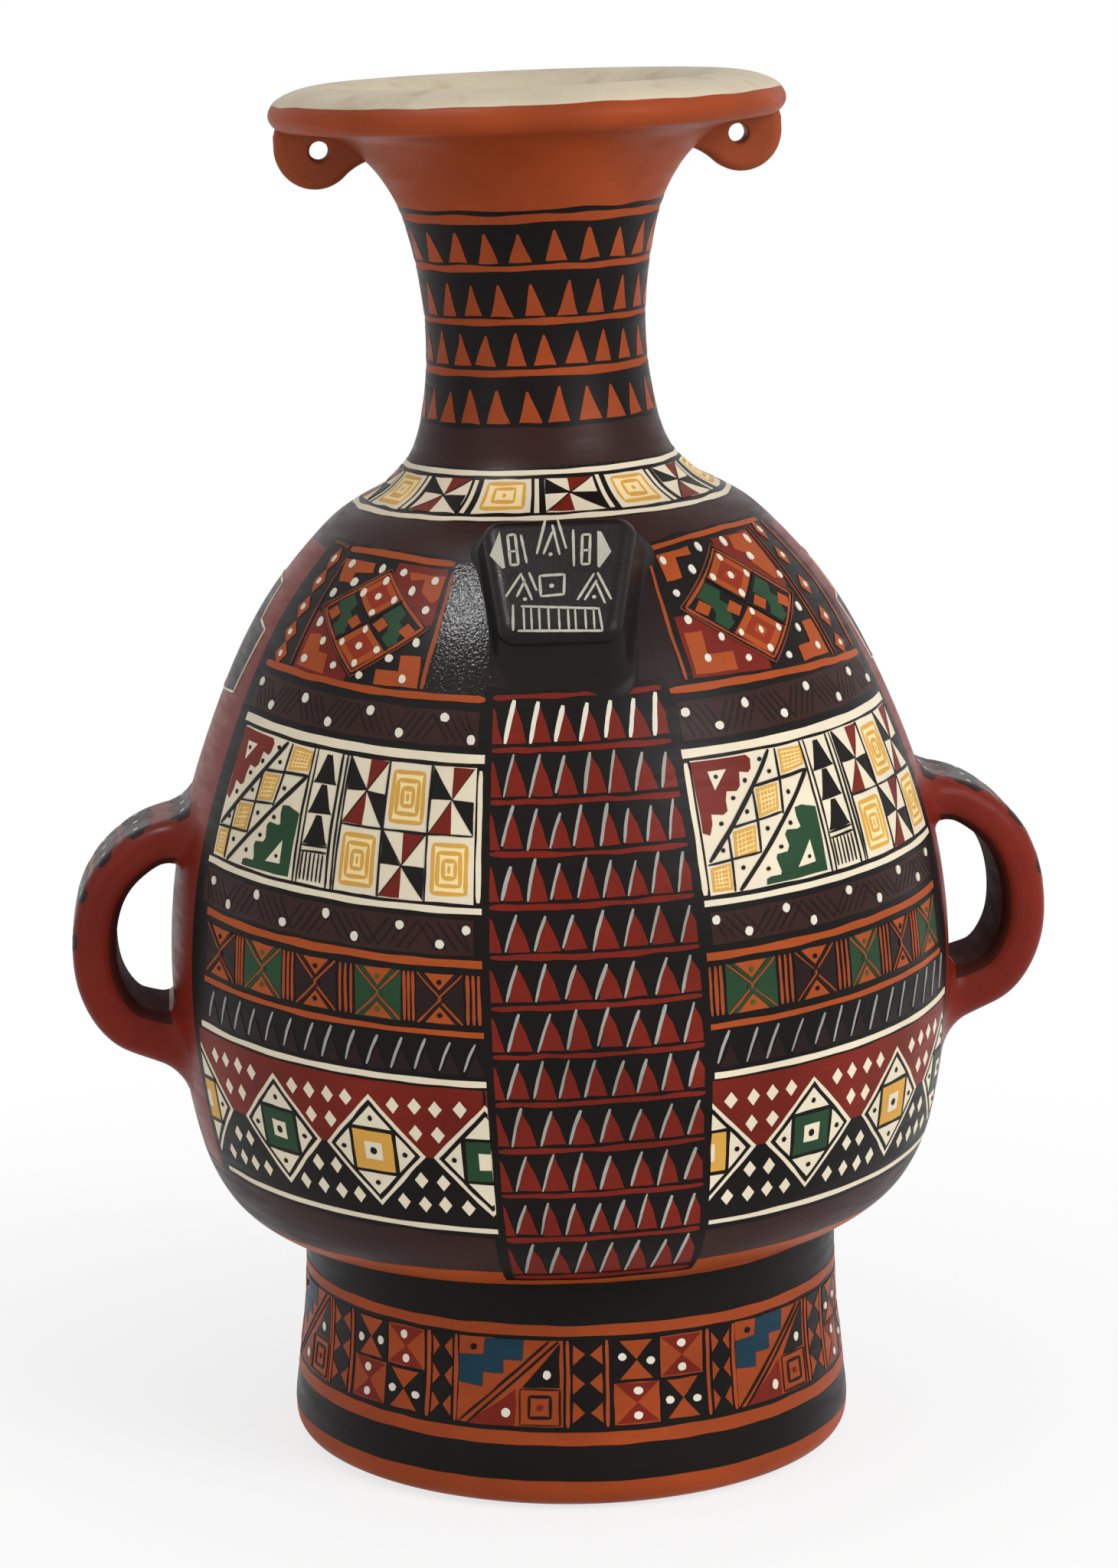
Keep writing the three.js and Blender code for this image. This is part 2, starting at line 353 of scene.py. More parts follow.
def outline_points(ground, corners, spacing, rough):
    """A closed outline of azimuth and height, with short edges that waver a little."""
    corners = np.array(corners, float)
    k = scale_at(ground, corners[:, 1].mean())
    points = []
    for a, b in zip(corners, np.roll(corners, -1, axis=0)):
        length = math.hypot((b[0] - a[0]) * k, b[1] - a[1])
        steps = max(1, math.ceil(length / spacing))
        points += [a + (b - a) * i / steps for i in range(steps)]
    points = np.array(points)
    points[:, 0] += waver(len(points), rough) / k
    points[:, 1] += waver(len(points), rough)
    after = np.roll(points, -1, axis=0)
    area = np.sum(points[:, 0] * after[:, 1] - after[:, 0] * points[:, 1])
    return (points if area > 0 else points[::-1]), k


def shape(ground, colour, level, corners, spacing=1.3, rough=0.1):
    """A filled shape of one colour."""
    points, k = outline_points(ground, corners, spacing, rough)
    edge = list(range(len(points)))
    metric = points * [k, 1]
    faces = []
    for a, b, c in tessellate_polygon([[Vector((x, z, 0)) for x, z in metric]]):
        faces.append((a, b, c) if turn_of(metric[a], metric[b], metric[c]) > 0 else (a, c, b))
    if np.ptp(metric, axis=0).max() > 4:
        high = metric[:, 1].mean() > NECK_START
        metric, faces = refined(metric, faces, NECK_EDGE if high else BELLY_EDGE)
        points = np.vstack([points, metric[len(points):] / [k, 1]])
    add_mesh(ground, colour, level, points, faces, edge)


def refined(metric, faces, longest):
    """Splits the long inner edges of a flat mesh, so that it can follow the round wall."""
    bm = bmesh.new()
    for x, z in metric:
        bm.verts.new((x, z, 0))
    bm.verts.ensure_lookup_table()
    for face in faces:
        corners = [bm.verts[i] for i in face]
        if not bm.faces.get(corners):
            bm.faces.new(corners)
    for _ in range(8):
        long_edges = [e for e in bm.edges if e.calc_length() > longest and len(e.link_faces) == 2]
        if not long_edges:
            break
        bmesh.ops.subdivide_edges(bm, edges=long_edges, cuts=1)
        bmesh.ops.triangulate(bm, faces=bm.faces[:])
    bm.verts.index_update()
    new_metric = np.array([(v.co.x, v.co.y) for v in bm.verts])
    new_faces = []
    for face in bm.faces:
        indices = [v.index for v in face.verts]
        if turn_of(*new_metric[indices]) < 0:
            indices.reverse()
        new_faces.append(tuple(indices))
    bm.free()
    return new_metric, new_faces


def ribbon(ground, colour, level, low, high):
    """Paint between two edges that run side by side, each a list of azimuth and height."""
    low, high = np.array(low, float), np.array(high, float)
    k = scale_at(ground, (low[:, 1].mean() + high[:, 1].mean()) / 2)
    gap = np.hypot((high[:, 0] - low[:, 0]) * k, high[:, 1] - low[:, 1]).max()
    if ground.surface == "jar":
        ends = np.interp([low[:, 1].min(), high[:, 1].max()], skin[:, 1], skin_length)
        gap = max(gap, abs(ends[1] - ends[0]))
    rows = max(1, math.ceil(gap / ROW))
    count = len(low)
    flat = np.vstack([low + (high - low) * j / rows for j in range(rows + 1)])
    faces = net(rows + 1, count, closed=False)
    edge = list(range(count))
    edge += [j * count + count - 1 for j in range(1, rows + 1)]
    edge += [rows * count + i for i in range(count - 2, -1, -1)]
    edge += [j * count for j in range(rows - 1, 0, -1)]
    if turn_of(flat[0], flat[count - 1], flat[-1]) < 0:
        faces = [face[::-1] for face in faces]
        edge = edge[::-1]
    add_mesh(ground, colour, level, flat, faces, edge)


def band(ground, colour, level, start, end, low, high, rough=0.12):
    """A level band between two azimuths and two heights, with slightly wavering edges."""
    k = scale_at(ground, (low + high) / 2)
    count = max(2, math.ceil((end - start) * k / COLUMN) + 1)
    azimuth = np.linspace(start, end, count)
    # the edges of a band right round the jar meet at the back
    fade = np.minimum(1, (180 - np.abs(azimuth)) / 10) if end - start == 360 else 1
    edges = [np.column_stack([azimuth, z + waver(count, rough) * fade]) for z in (low, high)]
    ribbon(ground, colour, level, *edges)


def ring(ground, colour, level, low, high, rough=0.12):
    """A band right round the jar."""
    band(ground, colour, level, -180, 180, low, high, rough)


def stroke(ground, colour, level, path, width, rough=0.07, taper=0.0):
    """A brush stroke along a path, with rounded ends and a slightly uneven width."""
    path = np.array(path, float)
    k = scale_at(ground, path[:, 1].mean())
    metric = path * [k, 1]
    points = [metric[0]]
    for a, b in zip(metric[:-1], metric[1:]):
        steps = max(1, math.ceil(np.linalg.norm(b - a) / STROKE_STEP))
        points += [a + (b - a) * (i + 1) / steps for i in range(steps)]
    points = np.array(points)
    if len(points) < 4:
        t, whole = np.linspace(0, len(points) - 1, 4), np.arange(len(points))
        points = np.column_stack([np.interp(t, whole, points[:, i]) for i in (0, 1)])
    side = left_of(unit(np.gradient(points, axis=0)))
    count = len(points)
    points = points + side * waver(count, rough)[:, None]
    half = width / 2 + waver(count, rough)
    half = half * (1 - taper * np.linspace(0, 1, count))
    half[[0, -1]] *= 0.62  # the ends are rounded
    reach = side * half[:, None]
    ribbon(ground, colour, level, (points - reach) / [k, 1], (points + reach) / [k, 1])


def dot(ground, colour, level, azimuth, z, size):
    """A round touch of the brush, never quite even."""
    k = scale_at(ground, z)
    turn, stretch = rng.uniform(0, 6), rng.uniform(0.9, 1.12)
    corners = []
    for i in range(12):
        a = turn + i * math.pi / 6
        r = size / 2 * rng.uniform(0.92, 1.06)
        corners.append((azimuth + r * stretch * math.cos(a) / k, z + r / stretch * math.sin(a)))
    shape(ground, colour, level, corners, spacing=2, rough=0.0)


def box_corners(a0, z0, a1, z1):
    return [(a0, z0), (a1, z0), (a1, z1), (a0, z1)]


def box_shape(ground, colour, level, *box):
    shape(ground, colour, level, box_corners(*box))


def outline_stroke(ground, colour, level, corners, width):
    """Separate strokes along the sides of a closed outline."""
    for side in zip(corners, corners[1:] + corners[:1]):
        stroke(ground, colour, level, side, width)


# Levels of the coats, from the ground up
GROUND, FILL, LINE, DETAIL, TOUCH = 1, 3, 5, 7, 9

# Edges of the decorated front
LEFT_EDGE, RIGHT_EDGE = -71.5, 73.0
PANEL_LEFT, PANEL_RIGHT = -15.0, 15.4




def within(left, low, right, high):
    """A function that turns shares of a box's width and height into places."""

    def along(*shares):
        return [(left + u * (right - left), low + v * (high - low)) for u, v in shares]

    return along


def inset(box, share):
    """A box drawn in on each side by a share of its size."""
    left, low, right, high = box
    x, z = (right - left) * share, (high - low) * share
    return left + x, low + z, right - x, high - z


def triangle_row(base, apex, first, pitch):
    """A row of clay triangles right round the neck."""
    count = round(360 / pitch)
    pitch = 360 / count
    for i in range(count):
        centre = (first + i * pitch + 180) % 360 - 180 + rng.uniform(-0.9, 0.9)
        half = 5.6 + rng.uniform(-0.7, 0.7)
        top = centre + rng.uniform(-1.6, 1.2)
        tip = apex + rng.uniform(-0.6, 0.7)
        corners = [(centre + side * half, base + rng.uniform(-0.2, 0.2)) for side in (-1, 1)]
        shape(JAR, "terracotta", FILL, corners + [(top + 0.5, tip), (top - 0.5, tip)], rough=0.14)


def neck_bands():
    """Black rings, most with a row of triangles, over a maroon one at the root of the neck."""
    for top, bottom, *row in (
        (320.9, 319.7), (317.5, 307.2, 308.0, 315.4, 6.7, 16.1),
        (305.6, 293.8, 294.5, 302.6, 11.2, 16.3), (292.2, 281.3, 282.3, 289.8, 0.2, 15.5),
        (279.5, 267.0, 268.2, 276.2, 5.8, 15.0),
    ):
        ring(JAR, "black", GROUND + 0.7, bottom, top, rough=0.22)
        if row:
            triangle_row(*row)
    ring(JAR, "maroon", GROUND, 257.6, 268.4)


def pinwheel(ground, level, left, low, right, high):
    """Eight triangles about the middle of a square, in black, cream and red."""
    width, height = right - left, high - low
    cx = (left + right) / 2 + width * rng.uniform(-0.04, 0.04)
    cz = (low + high) / 2 + height * rng.uniform(-0.03, 0.03)
    box_shape(ground, "cream", level, left, low, right, high)
    mid = (low + high) / 2
    for colour, corners in (
        ("black", [(left, mid), (cx, cz), (left, high)]),
        ("black", [(right, mid), (cx, cz), (right, low)]),
        ("red", [(cx, high), (cx, cz), (right, high)]),
        ("red", [(cx, low), (cx, cz), (left, low)]),
    ):
        shape(ground, colour, level + 1, corners)
    for a, b in (((left, high), (right, low)), ((left, low), (right, high))):
        stroke(ground, "black", level + 2, [a, (cx, cz), b], 0.24, rough=0.04)


def square_cell(ground, level, *box):
    """A cream square with squares of ochre inside each other, drawn with a loaded brush."""
    left, low, right, high = box
    small = high - low < 9
    box_shape(ground, "cream", level, *box)
    box_shape(ground, "straw", level + 0.5, *inset(box, 0.12))
    for share in (0.13, 0.3) if small else (0.13, 0.25, 0.37):
        corners = box_corners(*inset(box, share))
        outline_stroke(ground, "ochre", level + 1, corners, 0.75 if small else 1.05)
    x, z, reach = (left + right) / 2, (low + high) / 2, (high - low) * 0.06
    stroke(ground, "ochre", level + 1, [(x, z - reach), (x, z + reach)], 0.8)


def shoulder_cells():
    """The band of pinwheels and squares at the root of the neck."""
    ring(JAR, "black", GROUND, 246.2, 257.8)
    ring(JAR, "cream", FILL, 255.9, 257.0)
    ring(JAR, "cream", FILL, 246.5, 247.3)
    low, high, half = 248.0, 255.0, 9.6
    centres = [-67 + 24.4 * i for i in range(6)] + [55 + 26.7 * (i + 1) for i in range(8)]
    for i, centre in enumerate(centres):
        left, right = centre - half, centre + half
        if left > 180:
            left, right = left - 360, right - 360
        (pinwheel if i % 2 else square_cell)(JAR, FILL, left, low, right, high)
        band(JAR, "cream", FILL, right + 1.3, right + 2.9, low, high)


def side_panel(corners, grounds, steps, dots, lines):
    """A panel beside the nub: a square on its corner, with stepped corners round it.

    The square's four corners come first, then the red grounds, the orange steps, the white dots
    and the lines round the panel, with their colour and width.
    """
    west, south, east, north = (np.array(corner, float) for corner in corners)

    def at(u, v):
        """A place in the square, from its left corner along its upper and lower edges."""
        top, bottom = west + (north - west) * u, south + (east - south) * u
        return tuple(top + (bottom - top) * v)

    def patch(colour, level, outline):
        shape(JAR, colour, level, [at(u, v) for u, v in outline], rough=0.06)

    def spots(places, size):
        for place in places:
            dot(JAR, "white", TOUCH, *place, size * rng.uniform(0.88, 1.1))

    for outline in grounds:
        shape(JAR, "red", FILL, outline)
    for outline in steps:
        shape(JAR, "orange", LINE, outline, rough=0.14)
    spots(dots, 1.9)
    # the square and its double outline
    shape(JAR, "black", LINE, [tuple(c) for c in (west, south, east, north)])
    outline_stroke(JAR, "orange_line", DETAIL, [at(0, 0), at(1, 0), at(1, 1), at(0, 1)], 0.6)
    far = [at(-0.045, -0.045), at(1.045, -0.045), at(1.045, 1.045), at(-0.045, 1.045)]
    outline_stroke(JAR, "brown_line", DETAIL, far, 0.45)
    # two orange quarters, each with a red frame
    for u, v in ((0.5, 0), (0, 0.5)):
        for colour, level, a, b in (
            ("orange", LINE + 1, 0.03, 0.47), ("red_orange", LINE + 2, 0.11, 0.39),
            ("orange", DETAIL, 0.19, 0.31),
        ):
            patch(colour, level, box_corners(u + a, v + a, u + b, v + b))
        places = ((0.25, 0.25), (0.08, 0.08), (0.42, 0.09), (0.09, 0.42), (0.41, 0.42))
        spots([at(u + a, v + b) for a, b in places], 1.75)
    # two black quarters, each with green steps between orange squares
    for u, v in ((0, 0), (0.5, 0.5)):
        green = [(0.2, 0.03), (0.45, 0.03), (0.45, 0.2), (0.33, 0.24), (0.33, 0.35), (0.18, 0.44)]
        green += [(0.16, 0.48), (0.03, 0.46), (0.04, 0.3), (0.14, 0.27), (0.2, 0.2)]
        patch("green", LINE + 1, [(u + a, v + b) for a, b in green])
        for a, b in ((0.11, 0.14), (0.33, 0.41)):
            outline = [(a - 0.08, b - 0.06), (a + 0.07, b - 0.08)]
            outline += [(a + 0.08, b + 0.06), (a - 0.06, b + 0.08)]
            patch("orange", LINE + 2, [(u + p, v + q) for p, q in outline])
    for a, b in ((at(0.5, 0), at(0.5, 1)), (at(0, 0.5), at(1, 0.5))):
        stroke(JAR, "black", DETAIL + 1, [a, b], 0.5)
    for colour, width, path in lines:
        stroke(JAR, colour, LINE, path, width)


def diamond_corners(x, z, half_width, half_height):
    return [(x - half_width, z), (x, z - half_height), (x + half_width, z), (x, z + half_height)]


def side_panels():
    """The panels on both sides of the nub, and the columns of small diamonds beyond them."""
    side_panel(
        ((-56.2, 226.3), (-42.8, 213.0), (-29.5, 223.4), (-42.4, 234.9)),
        (
            [(-41.2, 237.2), (-27.2, 236.2), (-28.0, 224.4), (-29.2, 224.2), (-41.2, 235.0)],
            [(-58.4, 225.4), (-56.4, 225.0), (-43.9, 212.2), (-44.2, 210.8), (-58.6, 212.2)],
        ),
        (
            [(-59.3, 237.1), (-48.3, 236.7), (-47.5, 234.7), (-53.3, 234.2), (-52.8, 232.0), (-56.7, 232.0)],
            [(-37.0, 235.3), (-27.5, 234.8), (-27.7, 230.1), (-29.0, 229.0), (-32.3, 231.3),
             (-32.4, 234.0), (-35.7, 233.3)],
            [(-57.2, 220.3), (-53.7, 220.4), (-52.7, 216.6), (-50.2, 216.5), (-49.6, 211.8), (-57.7, 213.0)],
            [(-32.9, 217.5), (-28.7, 217.1), (-28.3, 210.2), (-37.4, 210.5), (-37.6, 213.9), (-32.8, 213.8)],
        ),
        (
            (-55.9, 236.0), (-45.2, 235.7), (-51.6, 232.3), (-56.5, 229.5), (-38.6, 235.2),
            (-29.7, 233.7), (-34.6, 231.4), (-30.0, 227.4), (-55.9, 223.0), (-52.6, 219.0),
            (-56.0, 214.6), (-47.6, 214.0), (-30.3, 220.3), (-35.3, 216.6), (-40.9, 212.4),
            (-31.6, 212.2),
        ),
        (
            ("orange", 1.3, [(-60.4, 239.1), (-51, 239.1), (-42.3, 238.7), (-34, 238.0), (-26.0, 237.4)]),
            ("brown_line", 0.8, [(-70.2, 239.9), (-65, 239.6), (-61.4, 239.2)]),
            ("orange_line", 1.1, [(-25.9, 235.2), (-26.4, 223.6), (-27.6, 210.2)]),
            ("brown_line", 0.7, [(-59.4, 237.7), (-59.3, 226), (-59.6, 212.8)]),
            ("orange", 1.6, [(-68.3, 212.0), (-58, 211.4), (-47.7, 210.4), (-35.8, 209.2), (-15.8, 208.0)]),
        ),
    )
    side_panel(
        ((24.3, 225.4), (40.0, 211.6), (54.0, 224.2), (39.2, 237.0)),
        (
            [(40.6, 239.2), (56.2, 239.4), (55.6, 226.4), (54.2, 225.6), (40.6, 237.2)],
            [(21.0, 223.8), (24.4, 223.8), (38.6, 211.4), (38.6, 209.4), (21.4, 210.0)],
        ),
        (
            [(22.4, 237.2), (32.0, 238.4), (31.9, 236.6), (27.2, 236.3), (26.4, 232.1), (22.3, 231.5)],
            [(47.0, 238.9), (55.4, 238.8), (54.9, 227.9), (52.3, 228.2), (48.2, 232.4),
             (49.6, 234.5), (45.9, 236.2)],
            [(22.0, 220.1), (25.9, 220.1), (25.6, 214.9), (31.1, 214.8), (30.8, 210.3), (22.0, 210.6)],
            [(52.4, 217.7), (56.0, 217.8), (56.4, 209.4), (47.6, 209.2), (47.7, 212.8), (51.9, 212.9)],
        ),
        (
            (23.6, 236.0), (35.1, 237.9), (29.9, 233.4), (23.5, 228.8), (44.0, 238.1), (53.3, 237.5),
            (49.3, 233.9), (55.0, 228.6), (23.8, 222.8), (29.7, 218.1), (25.3, 213.9), (34.0, 212.6),
            (54.2, 221.0), (50.2, 216.7), (53.6, 211.7), (44.0, 211.4),
        ),
        (
            ("orange", 1.0, [(19.6, 238.6), (27, 239.6), (34.4, 240.3), (48, 240.9), (67, 240.6)]),
            ("orange_line", 0.8, [(20.2, 237.2), (19.5, 230), (19.3, 220.4), (20.0, 209.8)]),
            ("orange_line", 0.5, [(57.3, 239.8), (56.9, 225), (57.6, 208.6)]),
            ("brown_line", 0.5, [(58.7, 239.8), (58.2, 225), (58.8, 208.6)]),
            ("orange_line", 1.0, [(68.2, 239.8), (69.6, 225), (68.2, 208.2)]),
            ("orange", 1.6, [(16.4, 207.7), (34.0, 208.0), (52, 207.6), (69.4, 206.6)]),
        ),
    )
    for centre, heights in (
        (-64.3, (236.4, 231.3, 225.4, 219.6, 214.6)),
        (62.6, (238.4, 232.1, 224.8, 217.0, 210.4)),
    ):
        for z in heights:
            tall = rng.uniform(2.3, 2.8)
            corners = diamond_corners(centre, z, 2.1, tall)
            shape(JAR, "orange", LINE, corners, rough=0.08)
            dot(JAR, "white", TOUCH, centre, z, 1.5)


def hatched_band(start, end, low, high, dots):
    """A dark band with faint crossed hatching and a zigzag of white dots."""
    band(BANDS, "maroon", FILL, start, end, low, high)
    count = round((end - start) / 7.2)
    step = (end - start) / count
    for i in range(count):
        rise = step * 0.42 * (1 if i % 2 else -1)
        for j in range(5):
            x = start + i * step + step * (j + 0.5) / 5
            path = ((x - rise / 2, low + 0.9), (x + rise / 2, high - 0.9))
            path = [(min(max(p, start + 0.3), end - 0.3), z) for p, z in path]
            stroke(BANDS, "hatch", FILL + 1, path, 0.5)
    for i, x in enumerate(dots):
        z = (low + high) / 2 + (-2.1 if i % 2 else 2.1)
        dot(BANDS, "white", TOUCH, x, z + rng.uniform(-0.4, 0.4), 2.2)


def cream_block(left, right, low, high):
    """The cream band of one side, from the stepped red corner to the squares."""
    along = within(left, low, right, high)
    band(BANDS, "cream", FILL, left, right, low, high)
    # red teeth in the upper left corner, with an eye
    red = along(
        (0, 0.99), (0.19, 0.985), (0.203, 0.95), (0.197, 0.878), (0.186, 0.855), (0.155, 0.87),
        (0.147, 0.765), (0.133, 0.733), (0.1, 0.745), (0.091, 0.68), (0.089, 0.6), (0.074, 0.577),
        (0.038, 0.595), (0.036, 0.52), (0.024, 0.442), (0.003, 0.465),
    )
    shape(BANDS, "red", LINE, red, rough=0.06)
    shape(BANDS, "cream", DETAIL, along((0.05, 0.905), (0.112, 0.905), (0.062, 0.765)), rough=0.05)
    dot(BANDS, "black", TOUCH, *along((0.073, 0.86))[0], 1.1)
    # the slanting row of ochre checks between two black lines
    for width, path in (
        (1.05, along((0.276, 0.99), (0.15, 0.64), (0.011, 0.247))),
        (1.05, along((0.4, 0.79), (0.25, 0.42), (0.09, 0.005))),
        (0.6, along((0.3, 0.99), (0.29, 0.75), (0.272, 0.51))),
        (0.6, along((0.186, 0.72), (0.181, 0.5), (0.172, 0.258))),
        (0.6, along((0.079, 0.44), (0.077, 0.2), (0.074, 0.005))),
        (0.7, along((0.195, 0.748), (0.3, 0.772), (0.4, 0.79))),
        (0.6, along((0.092, 0.473), (0.18, 0.5), (0.268, 0.524))),
        (0.6, along((0.004, 0.226), (0.09, 0.246), (0.174, 0.264))),
    ):
        stroke(BANDS, "black", DETAIL, path, width, rough=0.05)
    for check in (
        along((0.303, 0.797), (0.396, 0.825), (0.408, 0.97), (0.312, 0.98)),
        along((0.19, 0.517), (0.261, 0.545), (0.277, 0.743), (0.197, 0.727)),
        along((0.088, 0.235), (0.161, 0.269), (0.17, 0.471), (0.095, 0.446)),
        along((0.009, 0.022), (0.068, 0.02), (0.071, 0.218), (0.01, 0.2)),
    ):
        shape(BANDS, "ochre", LINE, check, rough=0.06)
        c0, c1, c2, c3 = (np.array(corner) for corner in check)
        for start, end, other, other_end, gap, width in (
            (c0, c3, c1, c2, np.array((0.35, 0)), 0.26), (c0, c1, c3, c2, np.array((0, 0.5)), 0.2),
        ):
            for i in range(1, 6):
                a, b = start + (end - start) * (i / 6) + gap, other + (other_end - other) * (i / 6) - gap
                stroke(BANDS, "straw", LINE + 1, [a, b], width, rough=0.05)
    for place in along(
        (0.235, 0.935), (0.259, 0.834), (0.167, 0.802), (0.309, 0.658), (0.116, 0.688),
        (0.152, 0.574), (0.063, 0.516), (0.208, 0.425), (0.29, 0.431), (0.241, 0.272),
        (0.055, 0.32), (0.108, 0.171), (0.186, 0.13),
    ):
        dot(BANDS, "black", TOUCH, *place, 1.05)
    # green teeth in the lower right corner, with an eye
    green = along(
        (0.318, 0.535), (0.345, 0.545), (0.396, 0.506), (0.39, 0.02), (0.174, 0.012),
        (0.176, 0.055), (0.189, 0.068), (0.225, 0.07), (0.229, 0.093), (0.219, 0.19),
        (0.224, 0.221), (0.261, 0.229), (0.27, 0.268), (0.263, 0.358), (0.273, 0.39),
        (0.312, 0.38), (0.324, 0.392), (0.317, 0.47),
    )
    shape(BANDS, "green", LINE, green, rough=0.06)
    shape(BANDS, "cream", DETAIL, along((0.346, 0.28), (0.35, 0.107), (0.286, 0.097)), rough=0.05)
    dot(BANDS, "black", TOUCH, *along((0.331, 0.155))[0], 1.0)
    # the column of arrows over a comb
    for u, lean_over, width in (
        (0.406, 0.002, 0.55), (0.424, 0.0, 0.5), (0.53, 0.004, 0.65), (0.549, 0.004, 0.5),
    ):
        stroke(BANDS, "black", DETAIL, along((u, 1), (u, 0.5), (u + lean_over, 0)), width)
    for v0 in (0.3, 0.53, 0.755):
        arrow = along(
            (0.429, v0), (0.524, v0 + 0.012), (0.515, v0 + 0.04), (0.487, v0 + 0.222),
            (0.466, v0 + 0.222), (0.438, v0 + 0.035),
        )
        shape(BANDS, "black", LINE, arrow, rough=0.06)
    for v0 in (0.245, 0.288):
        stroke(BANDS, "black", DETAIL, along((0.428, v0), (0.524, v0 + 0.012)), 0.5)
    for i in range(6):
        u = 0.436 + i * 0.0155
        stroke(BANDS, "black", DETAIL, along((u, 0.03), (u, 0.24)), 0.48, rough=0.04)
    # two rows of pinwheels and squares
    for i, (u0, u1) in enumerate(((0.566, 0.706), (0.714, 0.852), (0.86, 0.995))):
        for j, (v0, v1) in enumerate(((0.005, 0.492), (0.508, 0.995))):
            cell = pinwheel if (i + j) % 2 else square_cell
            lower, upper = along((u0, v0), (u1, v1))
            cell(BANDS, LINE, *lower, *upper)
    for path in (((u, 0), (u, 1)) for u in (0.563, 0.71, 0.856)):
        stroke(BANDS, "black", DETAIL + 1, along(*path), 0.5)
    stroke(BANDS, "black", DETAIL + 1, along((0.565, 0.5), (0.995, 0.5)), 0.5)


def crossed_boxes(marks, low, high):
    """The band of crossed boxes with groups of thin upright lines between them."""
    for left, right, kind in marks:
        if kind == "lines":
            for i in range(3):
                x = left + (right - left) * (i + 0.5) / 3
                stroke(BANDS, "orange_line", LINE, [(x, low + 0.6), (x, high - 0.5)], 0.75)
            continue
        box_shape(BANDS, kind, FILL, left, low + 0.4, right, high - 0.4)
        cx, cz = (left + right) / 2, (low + high) / 2
        half_w, half_h = (right - left) / 2, (high - low) / 2 - 0.5
        for sign in (1, -1):
            base = cz + sign * half_h
            corners = [(cx, cz + sign * 1.9), (cx - half_w * 0.62, base), (cx + half_w * 0.62, base)]
            shape(BANDS, "orange", LINE, corners)
            spot = "green_dot" if kind == "green" else "black"
            dot(BANDS, spot, TOUCH, cx, cz + sign * half_h * 0.66, 1.25)
            for side in (1, -1):
                x0, x1 = cx - side * half_w * 0.95, cx + side * 0.2
                stroke(BANDS, "orange_line", DETAIL, [(x0, base), (x1, cz)], 0.5)
                inner = [(x0 + side * half_w * 0.2, base), (x1 + side * 0.5, cz)]
                stroke(BANDS, kind, DETAIL, inner, 0.7)


def slash_band(start, end, low, high, count=14):
    """Grey strokes leaning right over a row of faint dark triangles."""
    band(BANDS, "black", FILL, start, end, low, high)
    pitch = (end - start) / count
    for i in range(count):
        x = start + pitch * (i + 0.35) + rng.uniform(-0.3, 0.3)
        base = low + 0.6
        corners = [(x, base), (x + pitch * 0.78, base), (x + pitch * 0.42, high - 3.5)]
        shape(BANDS, "umber", LINE, corners)
        foot = (x - 0.15 + rng.uniform(-0.15, 0.15), low + 1.3 + rng.uniform(-0.5, 0.4))
        head = (x + pitch * 0.45 + rng.uniform(-0.2, 0.2), high - 0.9 + rng.uniform(-0.5, 0.4))
        middle = ((foot[0] + head[0]) / 2 - 0.12, (foot[1] + head[1]) / 2)
        stroke(BANDS, "grey", DETAIL, [foot, middle, head], 0.56, rough=0.05, taper=-0.3)


def big_diamond(x, z, half_w, half_h, colour, left, right):
    """A cream diamond with a coloured square in it, cut off at the edges of the block."""
    w, h = half_w * 0.41, half_h * 0.36
    layers = []
    for share in (1.0, 0.905, 0.8):
        layers.append(diamond_corners(x, z, half_w * share, half_h * share))
    for share in (1.14, 0.96, 0.42):
        layers.append(box_corners(x - w * share, z - h * share, x + w * share, z + h * share))
    tones = ("cream", "black", "cream", "black", colour, "cream")
    levels = (LINE, LINE + 1, LINE + 2, DETAIL + 1, DETAIL + 1.5, DETAIL + 2)
    for tone, level, corners in zip(tones, levels, layers):
        corners = clipped(corners, left, right)
        if corners:
            shape(BANDS, tone, level, corners)
    for sx, sz, size in (
        (x, z + h * 1.6, 1.3), (x + w * 1.5, z, 1.3), (x, z - h * 1.6, 1.3), (x - w * 1.5, z, 1.3),
        (x, z, 1.9),
    ):
        if left + 0.8 < sx < right - 0.8:
            dot(BANDS, "black", TOUCH + 1, sx, sz, size)


def clipped(corners, left, right):
    """The part of a convex outline between two azimuths."""
    for limit, keep in ((left, 1), (right, -1)):
        result = []
        for a, b in zip(corners, corners[1:] + corners[:1]):
            in_a, in_b = (a[0] - limit) * keep >= 0, (b[0] - limit) * keep >= 0
            if in_a:
                result.append(a)
            if in_a != in_b:
                t = (limit - a[0]) / (b[0] - a[0])
                result.append((limit, a[1] + t * (b[1] - a[1])))
        corners = result
        if len(corners) < 3:
            return []
    return corners


def diamond_block(left, right, centres, low, high):
    """Large diamonds on red above and black below, with rows of small ones between them."""
    middle = (low + high) / 2 - 0.5
    band(BANDS, "black", FILL, left, right, low, middle)
    band(BANDS, "red", FILL, left, right, middle, high)
    half_h = (high - low) / 2 - 3.2
    for x, colour in centres:
        big_diamond(x, middle, 8.0, half_h, colour, left, right)
    wide, narrow = (-4.9, -1.6, 1.6, 4.9), (-1.65, 1.65)
    for (a, _), (b, _) in zip(centres[:-1], centres[1:]):
        for share, offsets in ((0.88, wide), (0.42, narrow), (-0.42, narrow), (-0.86, wide)):
            for offset in offsets:
                x = (a + b) / 2 + offset + rng.uniform(-0.15, 0.15)
                if left + 1 < x < right - 1:
                    z = middle + half_h * share + rng.uniform(-0.3, 0.3)
                    shape(BANDS, "cream", LINE, diamond_corners(x, z, 1.02, 2.15), rough=0.08)


